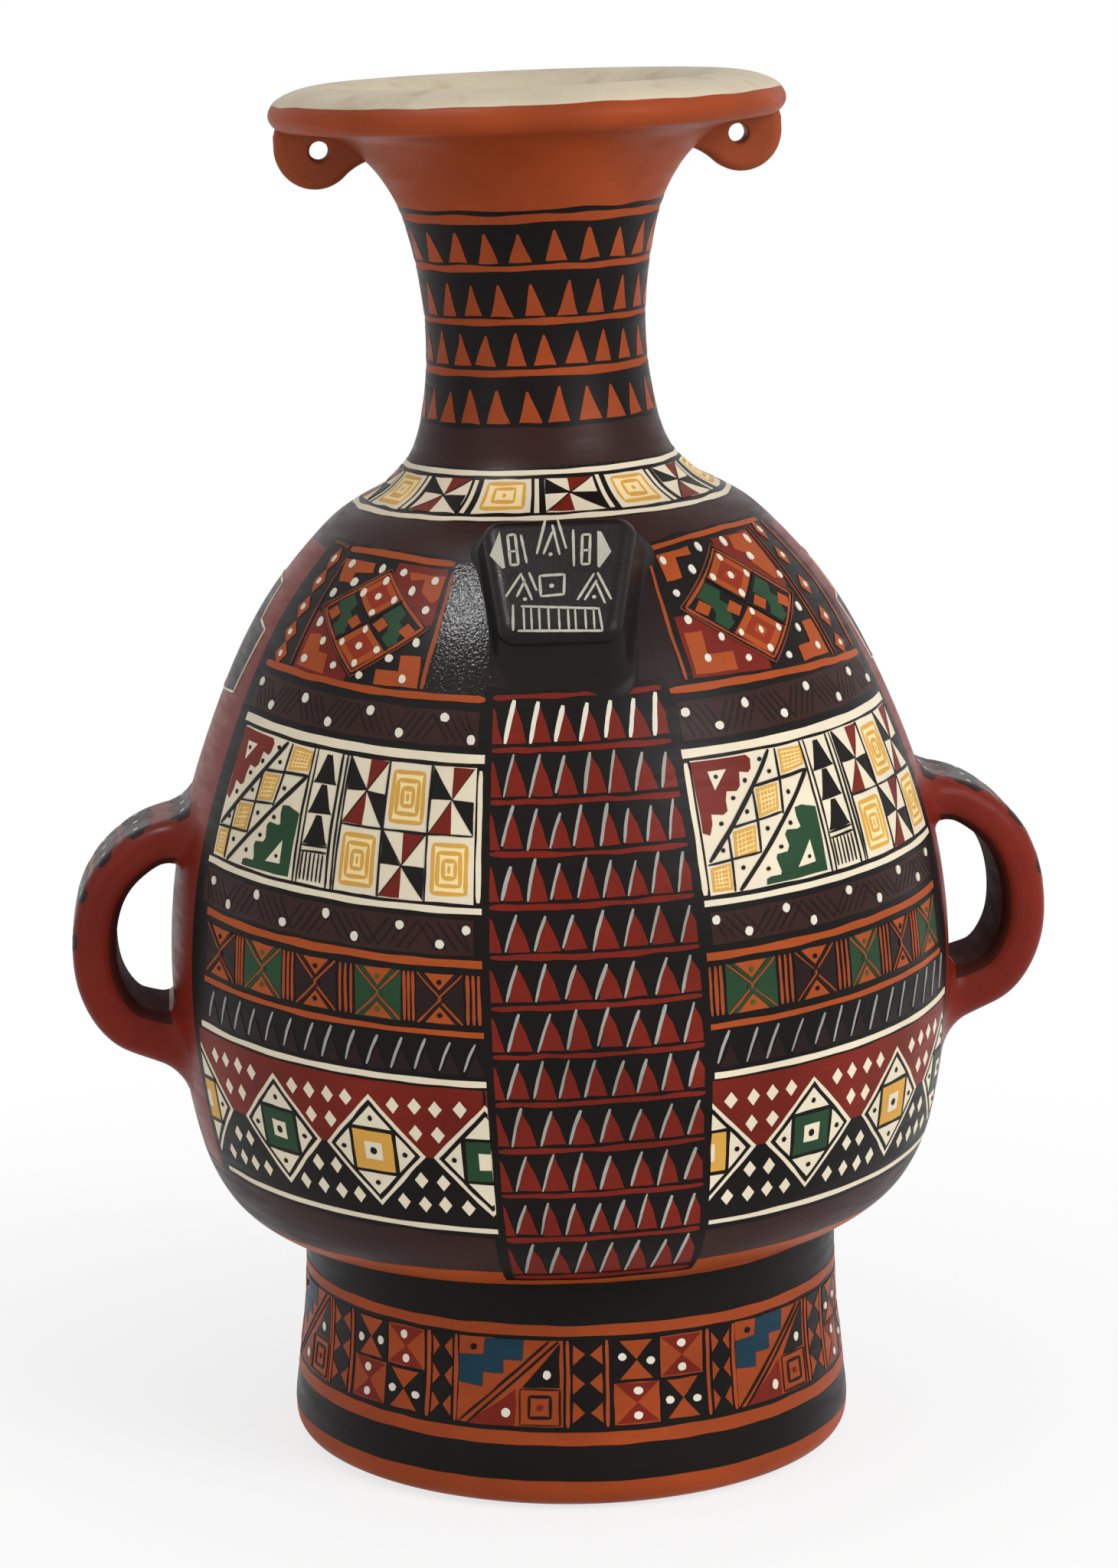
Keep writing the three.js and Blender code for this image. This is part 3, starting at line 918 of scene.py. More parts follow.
def tooth(x, base, tip, wide, right, last):
    """A red triangle with a hollow right side and a light stroke along its left side."""
    end = min(x + wide, right - 0.1)
    peak = x + wide * rng.uniform(0.36, 0.44)
    half_way = (base + tip) / 2
    corners = [(x, base), (end, base), (min(x + wide * 0.74, end), half_way + 0.5)]
    corners += [(min(peak, end - 0.1), tip), (x + wide * 0.14, half_way)]
    shape(JAR, "red", LINE, corners)
    foot = (x - 0.25 + rng.uniform(-0.1, 0.1), base + rng.uniform(-0.3, 0.5))
    head = (peak + rng.uniform(-0.15, 0.3), tip + rng.uniform(0.3, 1.1))
    middle = ((foot[0] + head[0]) / 2 - 0.1, (foot[1] + head[1]) / 2)
    colour, width = ("white", 1.0) if last else ("grey", rng.uniform(0.55, 0.72))
    stroke(JAR, colour, DETAIL, [foot, middle, head], width, 0.05, -0.3)


def centre_panel():
    """The tall front panel: rows of red triangles on black, each with a light stroke."""
    band(JAR, "black", FILL, PANEL_LEFT - 1.0, PANEL_RIGHT + 0.6, 64.0, 210.8)
    rows, bottom, top = 12, 65.8, 208.6
    pitch = (top - bottom) / rows
    left, right = PANEL_LEFT + 0.7, PANEL_RIGHT - 0.5
    for i in range(rows + 1):
        z, tilt = bottom + i * pitch, rng.uniform(-0.4, 0.4)
        path = [(left + (right - left) * t, z + tilt * (t - 0.5)) for t in (0, 0.25, 0.5, 0.75, 1)]
        stroke(JAR, "red", LINE, path, 1.25, rough=0.14)
    for i in range(rows):
        low = bottom + i * pitch + 1.3
        high = low + pitch - 2.5
        count = 8 if i in (1, 4, 8, 9) else 7
        step = (right - left - 0.8) / count
        corners = [(left, low), (left + step * 0.42, low), (left + step * 0.1, high - 2)]
        shape(JAR, "red", LINE, corners + [(left, high - 1.2)])
        for j in range(count):
            x = left + step * (j + 0.58) + rng.uniform(-0.2, 0.2)
            base = low + rng.uniform(-0.1, 0.4)
            wide = step * rng.uniform(0.74, 0.84)
            if min(x + wide, right - 0.1) - x >= step * 0.3:
                tooth(x, base, high - rng.uniform(0.2, 1.8), wide, right, i == rows - 1)


def body_bands():
    """The dark ground of the decorated front and the painted bands on it, from the top down."""
    ring(JAR, "maroon", GROUND, 238.2, 246.4)
    for start, end, places, heights in (
        (LEFT_EDGE, PANEL_LEFT, (-71.5, -60, -42, -26, -15), (241.0, 240.4, 239.9, 238.8, 238.2)),
        (PANEL_RIGHT, RIGHT_EDGE, (15.4, 21, 34, 67, 73), (239.6, 240.2, 241.6, 241.9, 241.8)),
    ):
        azimuth = np.linspace(start, end, 48)
        low = np.column_stack([azimuth, 78 + sag(azimuth) + waver(48, 0.2)])
        high = np.column_stack([azimuth, np.interp(azimuth, places, heights) + waver(48, 0.25)])
        ribbon(JAR, "black", GROUND + 0.7, low, high)
    # plain dark slip round the nub, polished on its left
    band(JAR, "umber", GROUND + 0.7, PANEL_LEFT, PANEL_RIGHT, 205, 239.6)
    share = np.linspace(0, 1, 12)
    low = np.column_stack([-28.0 + 13.5 * share, 208.6 - 0.6 * share])
    high = np.column_stack([-26.0 + 11.5 * share, 237.4 + 1.0 * share])
    ribbon(JAR, "gloss", GROUND + 1.4, low, high)
    band(JAR, "umber", GROUND + 1.4, PANEL_RIGHT - 0.5, 19.0, 209.0, 240.4)
    ring(JAR, "maroon", GROUND, 67.5, 83.0)
    ring(JAR, "orange", GROUND, 60.6, 67.3, rough=0.2)
    side_panels()
    for start, end, low, high, dots in (
        (-68.5, PANEL_LEFT - 1.6, 197.2, 205.2, (-66.8, -61, -52, -45.2, -36.7, -30.5, -22.6, -17.8)),
        (17.0, 69.0, 197.4, 206.4, (18.3, 24, 30, 37.6, 45, 53, 60.2, 67.6)),
        (-68.5, PANEL_LEFT - 1.6, 149.4, 158.0,
         (-65.3, -60.3, -53.5, -47.5, -39.5, -34.5, -27.4, -21.4, -17.6)),
        (17.0, 67.5, 150.2, 157.8, (17.8, 22.7, 29.2, 33.8, 41.5, 48.2, 54.6, 60.8, 66.2)),
    ):
        hatched_band(start, end, low, high, dots)
    for z, thick in ((194.6, 2.0), (160.0, 1.5), (118.4, 1.5), (80.0, 1.3)):
        for start, end in ((-68.2, PANEL_LEFT - 0.4), (16.3, 71.0)):
            band(BANDS, "cream", LINE, start, end, z - thick / 2, z + thick / 2, rough=0.1)
    cream_block(-67.0, -16.6, 161.6, 192.6)
    cream_block(17.4, 70.2, 161.8, 192.9)
    stroke(BANDS, "cream", LINE, [(-15.9, 162), (-15.9, 192)], 1.2)
    stroke(BANDS, "cream", LINE, [(16.6, 162), (16.6, 192.5)], 1.4)
    for start, end in ((-66.5, PANEL_LEFT - 0.4), (15.9, 67.5)):
        band(BANDS, "orange", LINE, start, end, 146.6, 148.4, rough=0.16)
        band(BANDS, "orange", LINE, start, end, 129.9, 131.3, rough=0.14)
    left_marks = (
        (-66.0, -57.8, "umber"), (-57.6, -55.6, "lines"), (-55.4, -47.4, "green"),
        (-47.3, -44.8, "lines"), (-44.6, -37.4, "umber"), (-37.2, -34.5, "lines"),
        (-34.3, -27.2, "green"), (-27.0, -25.0, "lines"), (-24.9, -18.1, "umber"),
        (-17.9, -15.5, "lines"),
    )
    right_marks = (
        (15.8, 18.2, "lines"), (18.5, 26.5, "green"), (26.7, 29.4, "lines"),
        (29.6, 37.0, "umber"), (37.2, 40.0, "lines"), (40.2, 46.7, "green"),
        (46.9, 49.6, "lines"), (49.8, 55.6, "umber"), (55.8, 58.5, "lines"),
        (58.7, 66.5, "green"),
    )
    crossed_boxes(left_marks, 132.4, 145.4)
    crossed_boxes(right_marks, 132.6, 145.6)
    slash_band(-66.5, PANEL_LEFT - 0.6, 119.8, 129.6)
    slash_band(16.0, 69.0, 119.8, 129.8)
    left_centres = ((-69.5, "ochre"), (-50.0, "green"), (-33.0, "ochre"), (-15.8, "green"))
    right_centres = ((15.0, "ochre"), (32.6, "green"), (51.0, "ochre"), (69.6, "green"))
    diamond_block(-69.5, PANEL_LEFT - 0.4, left_centres, 81.4, 116.9)
    diamond_block(15.9, 70.5, right_centres, 81.6, 117.0)
    centre_panel()


def diamond_column(left, low, right, high):
    """Three black diamonds one on another, with clay triangles at their sides."""
    box_shape(FOOT, "black", FILL, left, low, right, high)
    cx, cell = (left + right) / 2, (high - low) / 3
    for i in range(3):
        z = low + cell * (i + 0.5)
        for x, tip in ((left, cx - 0.5), (right, cx + 0.5)):
            shape(FOOT, "terracotta", LINE, [(x, z - cell * 0.36), (x, z + cell * 0.36), (tip, z)])


def quartered_boxes(left, low, right, high):
    """Four boxes, each crossed into triangles, with two white dots in each."""
    cx, cz = (left + right) / 2, (low + high) / 2
    for x0, z0, x1, z1, dark in (
        (left, cz, cx, high, True), (cx, cz, right, high, False),
        (left, low, cx, cz, False), (cx, low, right, cz, True),
    ):
        ground, motif, share = ("black", "terracotta", 0.72) if dark else ("terracotta", "red", 0.94)
        x0, x1, z0, z1 = x0 + 0.2, x1 - 0.2, z0 + 0.25, z1 - 0.25
        box_shape(FOOT, ground, FILL, x0, z0, x1, z1)
        x, z, half = (x0 + x1) / 2, (z0 + z1) / 2, (x1 - x0) / 2 * share
        for sign in (1, -1):
            base = z + sign * (z1 - z0) / 2 * 0.94
            shape(FOOT, motif, LINE, [(x - half, base), (x + half, base), (x, z)])
            if dark:
                dot(FOOT, "white", TOUCH, x + sign * 3.0, z + rng.uniform(-1, 1), 2.1)
            else:
                dot(FOOT, "white", TOUCH, x + rng.uniform(-0.4, 0.4), z + sign * 3.1, 2.2)


def stepped_block(left, low, right, high):
    """Blue steps and a slanting line over a dark corner, a red one and a square in a square."""
    along = within(left, low, right, high)
    box_shape(FOOT, "terracotta", FILL, left, low, right, high)
    blue = along(
        (0.26, 1), (0.63, 1), (0.62, 0.76), (0.44, 0.76), (0.44, 0.59), (0.245, 0.59),
        (0.24, 0.42), (0, 0.46), (0, 0.78), (0.245, 0.8),
    )
    shape(FOOT, "blue", LINE, blue)
    dot(FOOT, "black", TOUCH, *along((0.15, 0.88))[0], 1.6)
    shape(FOOT, "black", LINE, along((0.97, 0.97), (0.97, 0.45), (0.62, 0.45)))
    shape(FOOT, "red", LINE, along((0.1, 0.0), (0.56, 0.0), (0.56, 0.42)))
    dot(FOOT, "white", TOUCH, *along((0.85, 0.6))[0], 2.2)
    dot(FOOT, "white", TOUCH, *along((0.47, 0.15))[0], 2.4)
    for offset in (-0.03, 0.055):
        stroke(FOOT, "black", DETAIL, along((0.04 + offset, 0.0), (0.9 + offset, 0.99)), 0.6)
    for gap, width in ((0, 0.4), (0.085, 0.75)):
        corners = along(*box_corners(0.6 + gap, 0.02 + gap, 0.97 - gap, 0.43 - gap))
        outline_stroke(FOOT, "black", DETAIL, corners, width)
    dot(FOOT, "red", TOUCH, *along((0.785, 0.22))[0], 1.5)


def foot_bands():
    """The foot's painting, which repeats six times round it."""
    ring(FOOT, "black", GROUND, 8.2, 58.5)
    ring(FOOT, "terracotta", FILL, 44.8, 47.6, rough=0.15)
    ring(FOOT, "terracotta", FILL, 17.2, 20.6, rough=0.15)
    low, high, count = 21.8, 43.8, 6
    period = 360 / count
    for i in range(count):
        start = -28.8 + i * period
        if start > 150:
            start -= 360
        for a, b, block in (
            (0.0, 22.0, stepped_block), (24.0, 30.0, diamond_column),
            (32.2, 52.0, quartered_boxes), (54.0, period - 1.6, diamond_column),
        ):
            block(start + a, low, start + b, high)
        for x in (23.0, 31.0, 53.0, 59.4):
            stroke(FOOT, "orange_line", LINE, [(x + start, low), (x + start, high)], 0.95)


def side_motifs():
    """The dark stepped patch with a white outline above each handle, and the front's black edges."""
    steps = [(14.5, 202.5), (17.0, 218.3), (10.5, 219.6), (8.5, 228.3), (0, 228.8)]
    for centre in (-93.5, 93.5):
        corners = [(centre + x, z) for x, z in steps] + [(centre - x, z) for x, z in steps[-2::-1]]
        corners += [(centre - 4, 201.2), (centre + 4, 201.2)]
        shape(JAR, "umber", FILL, corners, spacing=2)
        outline_stroke(JAR, "white", LINE, corners, 0.6)
    for edge in (LEFT_EDGE, RIGHT_EDGE):
        band(JAR, "black", GROUND + 0.3, edge - 0.2, edge + 0.2, 66, 240)


neck_bands()
shoulder_cells()
body_bands()
foot_bands()
side_motifs()


# Materials


def new_node(tree, kind, inputs=(), **settings):
    """A shader node with its settings, and its inputs given a value or a link."""
    node = tree.nodes.new("ShaderNode" + kind)
    for name, value in settings.items():
        setattr(node, name, value)
    for key, value in dict(inputs).items():
        if isinstance(value, bpy.types.NodeSocket):
            tree.links.new(value, node.inputs[key])
        else:
            node.inputs[key].default_value = value
    return node


def linear(value):
    value /= 255
    return value / 12.92 if value <= 0.04045 else ((value + 0.055) / 1.055) ** 2.4


def tone(rgb, share=1.0):
    return (*(linear(value) * share for value in rgb), 1)


def clay_material(name, rgb, low=0.78, high=1.18, roughness=(0.3, 0.45), grain=0.04, worn=0.0,
                  shine=0.1):
    """Slip or clay: broad patches, brush streaks round the pot, a fine grain and wear."""
    material = bpy.data.materials.new(name)
    material.use_nodes = True
    tree = material.node_tree
    shader = tree.nodes["Principled BSDF"]
    where = new_node(tree, "TexCoord").outputs["Object"]

    def noise(scale, detail, vector=where):
        inputs = {"Scale": scale, "Detail": detail, "Vector": vector}
        return new_node(tree, "TexNoise", inputs).outputs["Fac"]

    def blend(fac, a, b):
        inputs = {"Factor": fac, 6: a, 7: b}
        return new_node(tree, "Mix", inputs, data_type="RGBA").outputs[2]

    def remap(value, low_in, high_in, low_out, high_out):
        inputs = {"Value": value, "From Min": low_in, "From Max": high_in}
        inputs.update({"To Min": low_out, "To Max": high_out})
        return new_node(tree, "MapRange", inputs).outputs["Result"]

    stretched = new_node(tree, "Mapping", {"Vector": where, "Scale": (0.25, 0.25, 1.6)})
    patches = noise(38.0, 3.0)
    streaks = noise(260.0, 3.0, stretched.outputs["Vector"])
    fine = noise(1400.0, 2.0)
    broad = blend(remap(patches, 0.3, 0.7, 0, 1), tone(rgb, low), tone(rgb, high))
    worked = blend(remap(streaks, 0.35, 0.75, 0, 0.55), broad, tone(rgb, (low + 1) / 2))
    colour = blend(remap(fine, 0.62, 0.8, 0, 0.35), worked, tone(rgb, high * 1.25))
    if worn:
        colour = blend(remap(noise(120.0, 6.0), 0.56, 0.72, 0, worn), colour, tone((150, 104, 72)))
    height = blend(0.5, patches, fine)
    bump = new_node(tree, "Bump", {"Strength": grain, "Distance": 0.0006, "Height": height})
    tree.links.new(colour, shader.inputs["Base Color"])
    tree.links.new(remap(streaks, 0.3, 0.7, *roughness), shader.inputs["Roughness"])
    tree.links.new(bump.outputs["Normal"], shader.inputs["Normal"])
    shader.inputs["Specular IOR Level"].default_value = shine
    return material


# Each slip's colour, its darkest and lightest share of it, its roughness and its slot
SILKY, DRY, MATT = (0.34, 0.46), (0.36, 0.48), (0.38, 0.5)
SLIPS = {
    "cream": ((218, 206, 181), 0.88, 1.06, DRY, "cream_slip"),
    "red": ((106, 28, 16), 0.78, 1.25, SILKY, "red_slip"),
    "red_orange": ((130, 42, 17), 0.8, 1.2, SILKY, "red_slip"),
    "black": ((16, 11, 10), 0.7, 1.35, SILKY, "black_slip"),
    "maroon": ((47, 26, 22), 0.76, 1.25, (0.32, 0.46), "maroon_slip"),
    "umber": ((33, 20, 18), 0.75, 1.25, (0.32, 0.46), "maroon_slip"),
    "hatch": ((24, 14, 12), 0.8, 1.2, SILKY, "maroon_slip"),
    # a dark brown sheet that paints the shade on the inner faces of the handles' loops
    "shade_lining": ((66, 30, 24), 0.7, 1.25, (0.6, 0.75), "maroon_slip"),
    "gloss": ((24, 17, 16), 0.75, 1.25, (0.2, 0.21), "dark_slip"),
    "orange": ((155, 69, 26), 0.82, 1.15, DRY, "bare_clay"),
    "orange_line": ((146, 66, 32), 0.75, 1.2, DRY, "bare_clay"),
    "brown_line": ((96, 49, 33), 0.75, 1.2, DRY, "brown_clay"),
    "terracotta": ((143, 61, 25), 0.8, 1.17, DRY, "bare_clay"),
    "green": ((33, 62, 39), 0.78, 1.25, DRY, "black_slip"),
    "green_dot": ((58, 82, 40), 0.8, 1.2, DRY, "black_slip"),
    "blue": ((21, 50, 64), 0.78, 1.25, DRY, "black_slip"),
    "ochre": ((205, 154, 68), 0.84, 1.1, MATT, "cream_slip"),
    "straw": ((234, 211, 155), 0.88, 1.06, MATT, "cream_slip"),
    "white": ((214, 208, 192), 0.85, 1.06, MATT, "cream_slip"),
    "grey": ((146, 146, 139), 0.7, 1.3, MATT, "cream_slip"),
}
POLISH = {"gloss": dict(grain=0.5, shine=0.16), "shade_lining": dict(shine=0.03)}
slips = {}
for key, (*looks, _slot) in SLIPS.items():
    slips[key] = clay_material("slip_" + key, *looks, **POLISH.get(key, {}))

red_slip = clay_material("red_slip", (110, 32, 20), 0.8, 1.18, (0.32, 0.44))
terracotta = clay_material("terracotta", (144, 61, 26), 0.82, 1.14, (0.42, 0.55), grain=0.1)
brown_clay = clay_material("brown_clay", (138, 66, 37), 0.76, 1.2, (0.46, 0.6), grain=0.2)
dark_slip = clay_material("dark_slip", (22, 16, 15), 0.78, 1.25, (0.32, 0.44), 0.2, shine=0.14)


def lay_coats():
    """Makes one object of each surface and colour, from all its coats."""
    merged = {}
    for (surface, colour, _level), (points, faces) in coats.items():
        all_points, all_faces = merged.setdefault((surface, colour), ([], []))
        all_faces += shifted(faces, sum(len(p) for p in all_points))
        all_points += points
    for (surface, colour), (points, faces) in sorted(merged.items(), key=lambda item: item[0]):
        place = place_on_foot if surface == "foot" else place_on_jar
        placed = place(*np.vstack(points).T)
        obj = make_object(f"paint_{surface}_{colour}", placed, faces, slips[colour], sharp=50)
        stand_in(obj, SLIPS[colour][-1])


# The clay


def vessel():
    """The turned walls of the jar and its foot, each a closed shell."""

    def wall(low, high, inner_low=None, inner_high=None):
        """Profile of a stretch of the jar's wall, up its outside and down its inside."""
        inner = part_of(inside, inner_low or low, inner_high or high)
        return [*part_of(outside, low, high)], [*inner[::-1]]

    bowl = sum(wall(BOTTOM + 1e-6, BELLY_HEIGHT, inside[0][1]), [])
    funnel_out, funnel_in = wall(LIP_JOINT, RIM - 1e-6, None, inside[-1][1])
    base = [(FOOT_INNER + 1, 0), *foot_curve, (FOOT_INNER, FOOT_TOP), (FOOT_INNER, 3)]
    for name, profile, place, material, slot, node in (
        ("belly_lower", [(0, BOTTOM), *bowl, (0, inside[0][1])], leaned, red_slip,
         "red_slip", "body_lower"),
        ("belly_upper", sum(wall(BELLY_HEIGHT, SHOULDER_HEIGHT), []), leaned, red_slip,
         "maroon_slip", "body_upper"),
        ("neck_wall", sum(wall(SHOULDER_HEIGHT, LIP_JOINT), []), leaned, terracotta,
         "bare_clay", "neck"),
        ("rolled_lip", [*funnel_out, *lip, *funnel_in], leaned, terracotta, "bare_clay", "lip"),
        ("foot_wall", base, upright, terracotta, "black_slip", "foot_ring"),
    ):
        stand_in(make_object(name, *revolve(profile, place), material), slot, node)


strap_line = spline(STRAP_LINE, STRAP_STEPS)
strap_along = unit(np.gradient(strap_line, axis=0))


def strap_point(t, across, out):
    """Points of the strap: along its line from 0 to 1, across it and out from the line."""
    share = np.linspace(0, 1, len(strap_line))
    r, z = (np.interp(t, share, strap_line[:, i]) for i in (0, 1))
    dr, dz = (np.interp(t, share, strap_along[:, i]) for i in (0, 1))
    wide = across * (1 + 0.25 * np.abs(2 * t - 1) ** 4)
    thick = out * (1 + 0.3 * t**3)
    return np.column_stack([r + dz * thick, -wide, z - dr * thick])


def clearance(points):
    """Distance from the jar's wall, measured level."""
    return np.hypot(points[:, 0], points[:, 1]) - jar_radius(points[:, 2])


def strap_rings():
    """Rings of points along the right strap, whose ends are smoothed into the wall."""
    x, y = STRAP_WIDTH / 2 - STRAP_ROUND, STRAP_THICKNESS / 2 - STRAP_ROUND
    section, normals = rounded(((x, y), (-x, y), (-x, -y), (x, -y)), STRAP_ROUND)
    fine = np.linspace(0, 1, FINE)
    smooth = np.linspace(0, 1, FILLET_ROWS)[:, None]
    lanes = []
    for (across, out), (nx, ny) in zip(section, normals):
        reach = 5.0 + 1.5 * (out < 0)
        lane = strap_point(fine, across, out)
        wide = strap_point(fine, across + reach * nx, out + reach * ny)
        free, wide_free = clearance(lane), clearance(wide)
        ends, clear = [], []
        for way in (1, -1):
            clear.append(np.argmax(free[::way] > reach))
            a, c = lane[::way][clear[-1]], lane[::way][np.argmax(free[::way] > 0)]
            b = wide[::way][np.argmax(wide_free[::way] > -0.3)]
            ends.append((1 - smooth) ** 2 * b + 2 * smooth * (1 - smooth) * c + smooth**2 * a)
        first, last = fine[clear[0]], fine[::-1][clear[1]]
        middle = strap_point(np.linspace(first, last, STRAP_ROWS + 2)[1:-1], across, out)
        lanes.append(np.vstack([ends[0], middle, ends[1][::-1]]))
    return np.stack(lanes, axis=1), np.array(section), np.array(normals), first


def handles():
    """Both straps, a dark sheet of painted shade inside their finger gaps and the paint on their outer face.
    """
    rings, section, normals, first = strap_rings()
    rows, count = rings.shape[:2]
    faces = net(rows, count)
    faces.append(tuple(range(count))[::-1])
    faces.append(tuple((rows - 1) * count + i for i in range(count)))
    round_it = np.roll(rings, -1, axis=1) - np.roll(rings, 1, axis=1)
    up = unit(np.cross(round_it, np.gradient(rings, axis=0)))
    middle = rows // 2
    outward = rings[middle] - rings[middle].mean(axis=0)
    up *= np.sign((up[middle] * outward).sum())
    # the painted shade lies on the side that faces the wall, where the loop is in shadow
    inner = np.flatnonzero((normals[:, 1] > 0.45) & (np.arange(count) < count / 2))
    lift = np.full((rows, len(inner)), 0.09)
    lift[:, [0, -1]] = -0.06
    shade_lining = (rings[:, inner] + up[:, inner] * lift[:, :, None])[5:-5]
    shade_lining_faces = net(*shade_lining.shape[:2], closed=False)
    for side, word in ((1, "right"), (-1, "left")):
        for name, points, some_faces, material, slot, nodes in (
            ("strap_", rings, faces, red_slip, "red_slip", ["handle_" + word]),
            ("strap_shade_lining_", shade_lining, shade_lining_faces, slips["shade_lining"], "maroon_slip", []),
        ):
            placed = leaned(points.reshape(-1, 3) * [side, side, 1])
            obj = make_object(name + word, placed, some_faces, material, 60, reckon=True)
            stand_in(obj, slot, *nodes)
    # distances along and across the outer face, for its paint
    outer = slice(count // 2, None)
    face = rings[:, outer]
    spine = (face[:, CORNER_STEPS] + face[:, CORNER_STEPS + 1]) / 2
    along = np.concatenate([[0], np.cumsum(np.linalg.norm(np.diff(spine, axis=0), axis=1))])
    total = np.linalg.norm(np.diff(strap_line, axis=0), axis=1).sum()
    along += first * total - along[FILLET_ROWS]
    spans = np.linalg.norm(np.diff(section[outer], axis=0), axis=1)
    across = np.concatenate([[0], np.cumsum(spans)])
    strap_paint(along, across - across[-1] / 2, face, up[:, outer])


# Half of a stepped patch: its places across the strap and its half lengths there
STRAP_PATCH = [
    (-13.6, 1.8), (-11.4, 3.0), (-11.4, 4.4), (-6.4, 4.4), (-6.4, 3.2), (-2.4, 3.2), (-2.4, 5.0),
]
STRAP_PATCH += [(-q, half) for q, half in STRAP_PATCH[::-1]]


def strap_paint(along, across, face, up):
    """Dark stepped patches with white touches along the outer face of both straps."""

    def cell(distances, value):
        i = np.clip(np.searchsorted(distances, value) - 1, 0, len(distances) - 2)
        return i, ((value - distances[i]) / (distances[i + 1] - distances[i]))[:, None]

    def place(s, q, lift):
        """Points on the outer face from their distances along and across it."""
        (i, u), (j, v) = cell(along, s), cell(across, q)
        raised = face + up * lift
        near = raised[i, j] * (1 - v) + raised[i, j + 1] * v
        far = raised[i + 1, j] * (1 - v) + raised[i + 1, j + 1] * v
        return near * (1 - u) + far * u

    def patch(points, faces, corners, lift, rough):
        outline, _ = outline_points(STRAP, corners, 1.2, rough)
        triangles = tessellate_polygon([[Vector((x, z, 0)) for x, z in outline]])
        flat, some_faces = refined(outline, triangles, 1.4)
        edge = list(range(len(outline)))
        start = sum(len(p) for p in points)
        faces += shifted(some_faces, start) + skirt(edge, start, start + len(flat))
        points += [place(*flat.T, lift), place(*flat[edge].T, -0.05)]

    right = ((7.5, 1.0), (19.5, 1.5), (35.0, 1.25), (50.0, 1.0))
    left = ((8.0, 0.8), (21.0, 1.0), (31.5, 1.0), (43.0, 0.9), (55.0, 0.8))
    for side, word, places in ((1, "right", right), (-1, "left", left)):
        sheets = {"umber": ([], []), "white": ([], [])}
        for s, long in places:
            corners = [(s + half * long, q) for q, half in STRAP_PATCH]
            corners += [(s - half * long, q) for q, half in STRAP_PATCH[::-1]]
            patch(*sheets["umber"], corners, 0.06, 0.3)
            for q in (-9.0, 0.0, 9.0):
                turn = np.linspace(0, 2 * math.pi, 9)[:-1]
                spot = [(s + 0.8 * math.cos(a), q + 0.8 * math.sin(a)) for a in turn]
                patch(*sheets["white"], spot, 0.12, 0.05)
        for colour, (points, faces) in sheets.items():
            placed = leaned(np.vstack(points) * [side, side, 1])
            name = f"paint_strap_{word}_{colour}"
            obj = make_object(name, placed, faces, slips[colour], 50, reckon=True)
            stand_in(obj, SLIPS[colour][-1])


def ear_outline():
    """Outline of an ear in radius and height: half round below, running into the neck."""
    r, z = EAR_CENTRE
    outline = [(r + EAR_RADIUS, z + 3), (r + EAR_RADIUS, z)]
    for i in range(1, 41):
        a = -math.pi * 0.74 * i / 40
        outline.append((r + EAR_RADIUS * math.cos(a), z + EAR_RADIUS * math.sin(a)))
    bend = zip(outline[-1], (r - 10.6, z - 3.8), (r - 16.5, z - 2.8))
    t = np.arange(1, 13) / 12
    outline += [*zip(*((1 - t) ** 2 * p + 2 * t * (1 - t) * q + t * t * e for p, q, e in bend))]
    outline += [(r - 16.5, z + 4), (r - 8, z + 5.2), (r + 4, z + 6.2), (r + EAR_RADIUS - 1, z + 6.5)]
    return np.array(outline)


def ear_mesh():
    """A flat plate with rounded edges and a hole through it."""
    r, z = EAR_CENTRE
    turn = np.linspace(0, 2 * math.pi, 40, endpoint=False)
    hole = np.column_stack([np.cos(turn), np.sin(turn)]) * EAR_HOLE / 2 + [r - 1, z - 0.6]
    quarter = [k * math.pi / 10 for k in range(6)]
    turns = [(-1, a) for a in quarter[::-1]] + [(1, a) for a in quarter]
    points, faces, caps = [], [], []
    for loop, edge in ((ear_outline()[::-1], EAR_EDGE), (hole, -EAR_HOLE_EDGE)):
        sideways = left_of(unit(np.roll(loop, -1, axis=0) - np.roll(loop, 1, axis=0)))
        start, count = sum(len(p) for p in points), len(loop)
        for side, a in turns:
            x, high = (loop + edge * (1 - math.cos(a)) * sideways).T
            y = side * (EAR_THICKNESS / 2 - abs(edge) * (1 - math.sin(a)))
            points.append(np.column_stack([x, np.full(count, y), high]))
        faces += shifted(net(len(turns), count), start)
        caps.append((start, start + (len(turns) - 1) * count, count))
    points = np.vstack(points)
    for which in (0, 1):
        loops = [[Vector((p[0], p[2], 0)) for p in points[c[which]:c[which] + c[2]]] for c in caps]
        index = [i for c in caps for i in range(c[which], c[which] + c[2])]
        faces += [tuple(index[i] for i in triangle) for triangle in tessellate_polygon(loops)]
    return points, faces


def ears():
    points, faces = ear_mesh()
    for side, word in ((1, "right"), (-1, "left")):
        placed = leaned(points * [side, side, 1])
        obj = make_object("pierced_ear_" + word, placed, faces, brown_clay, 45, reckon=True)
        stand_in(obj, "brown_clay", "ear_" + word)


NUB_LENGTH = math.hypot(NUB_BROW[0] - NUB_TOP[0], NUB_BROW[1] - NUB_TOP[1])
NUB_ANGLE = math.atan2(NUB_TOP[1] - NUB_BROW[1], NUB_BROW[0] - NUB_TOP[0])


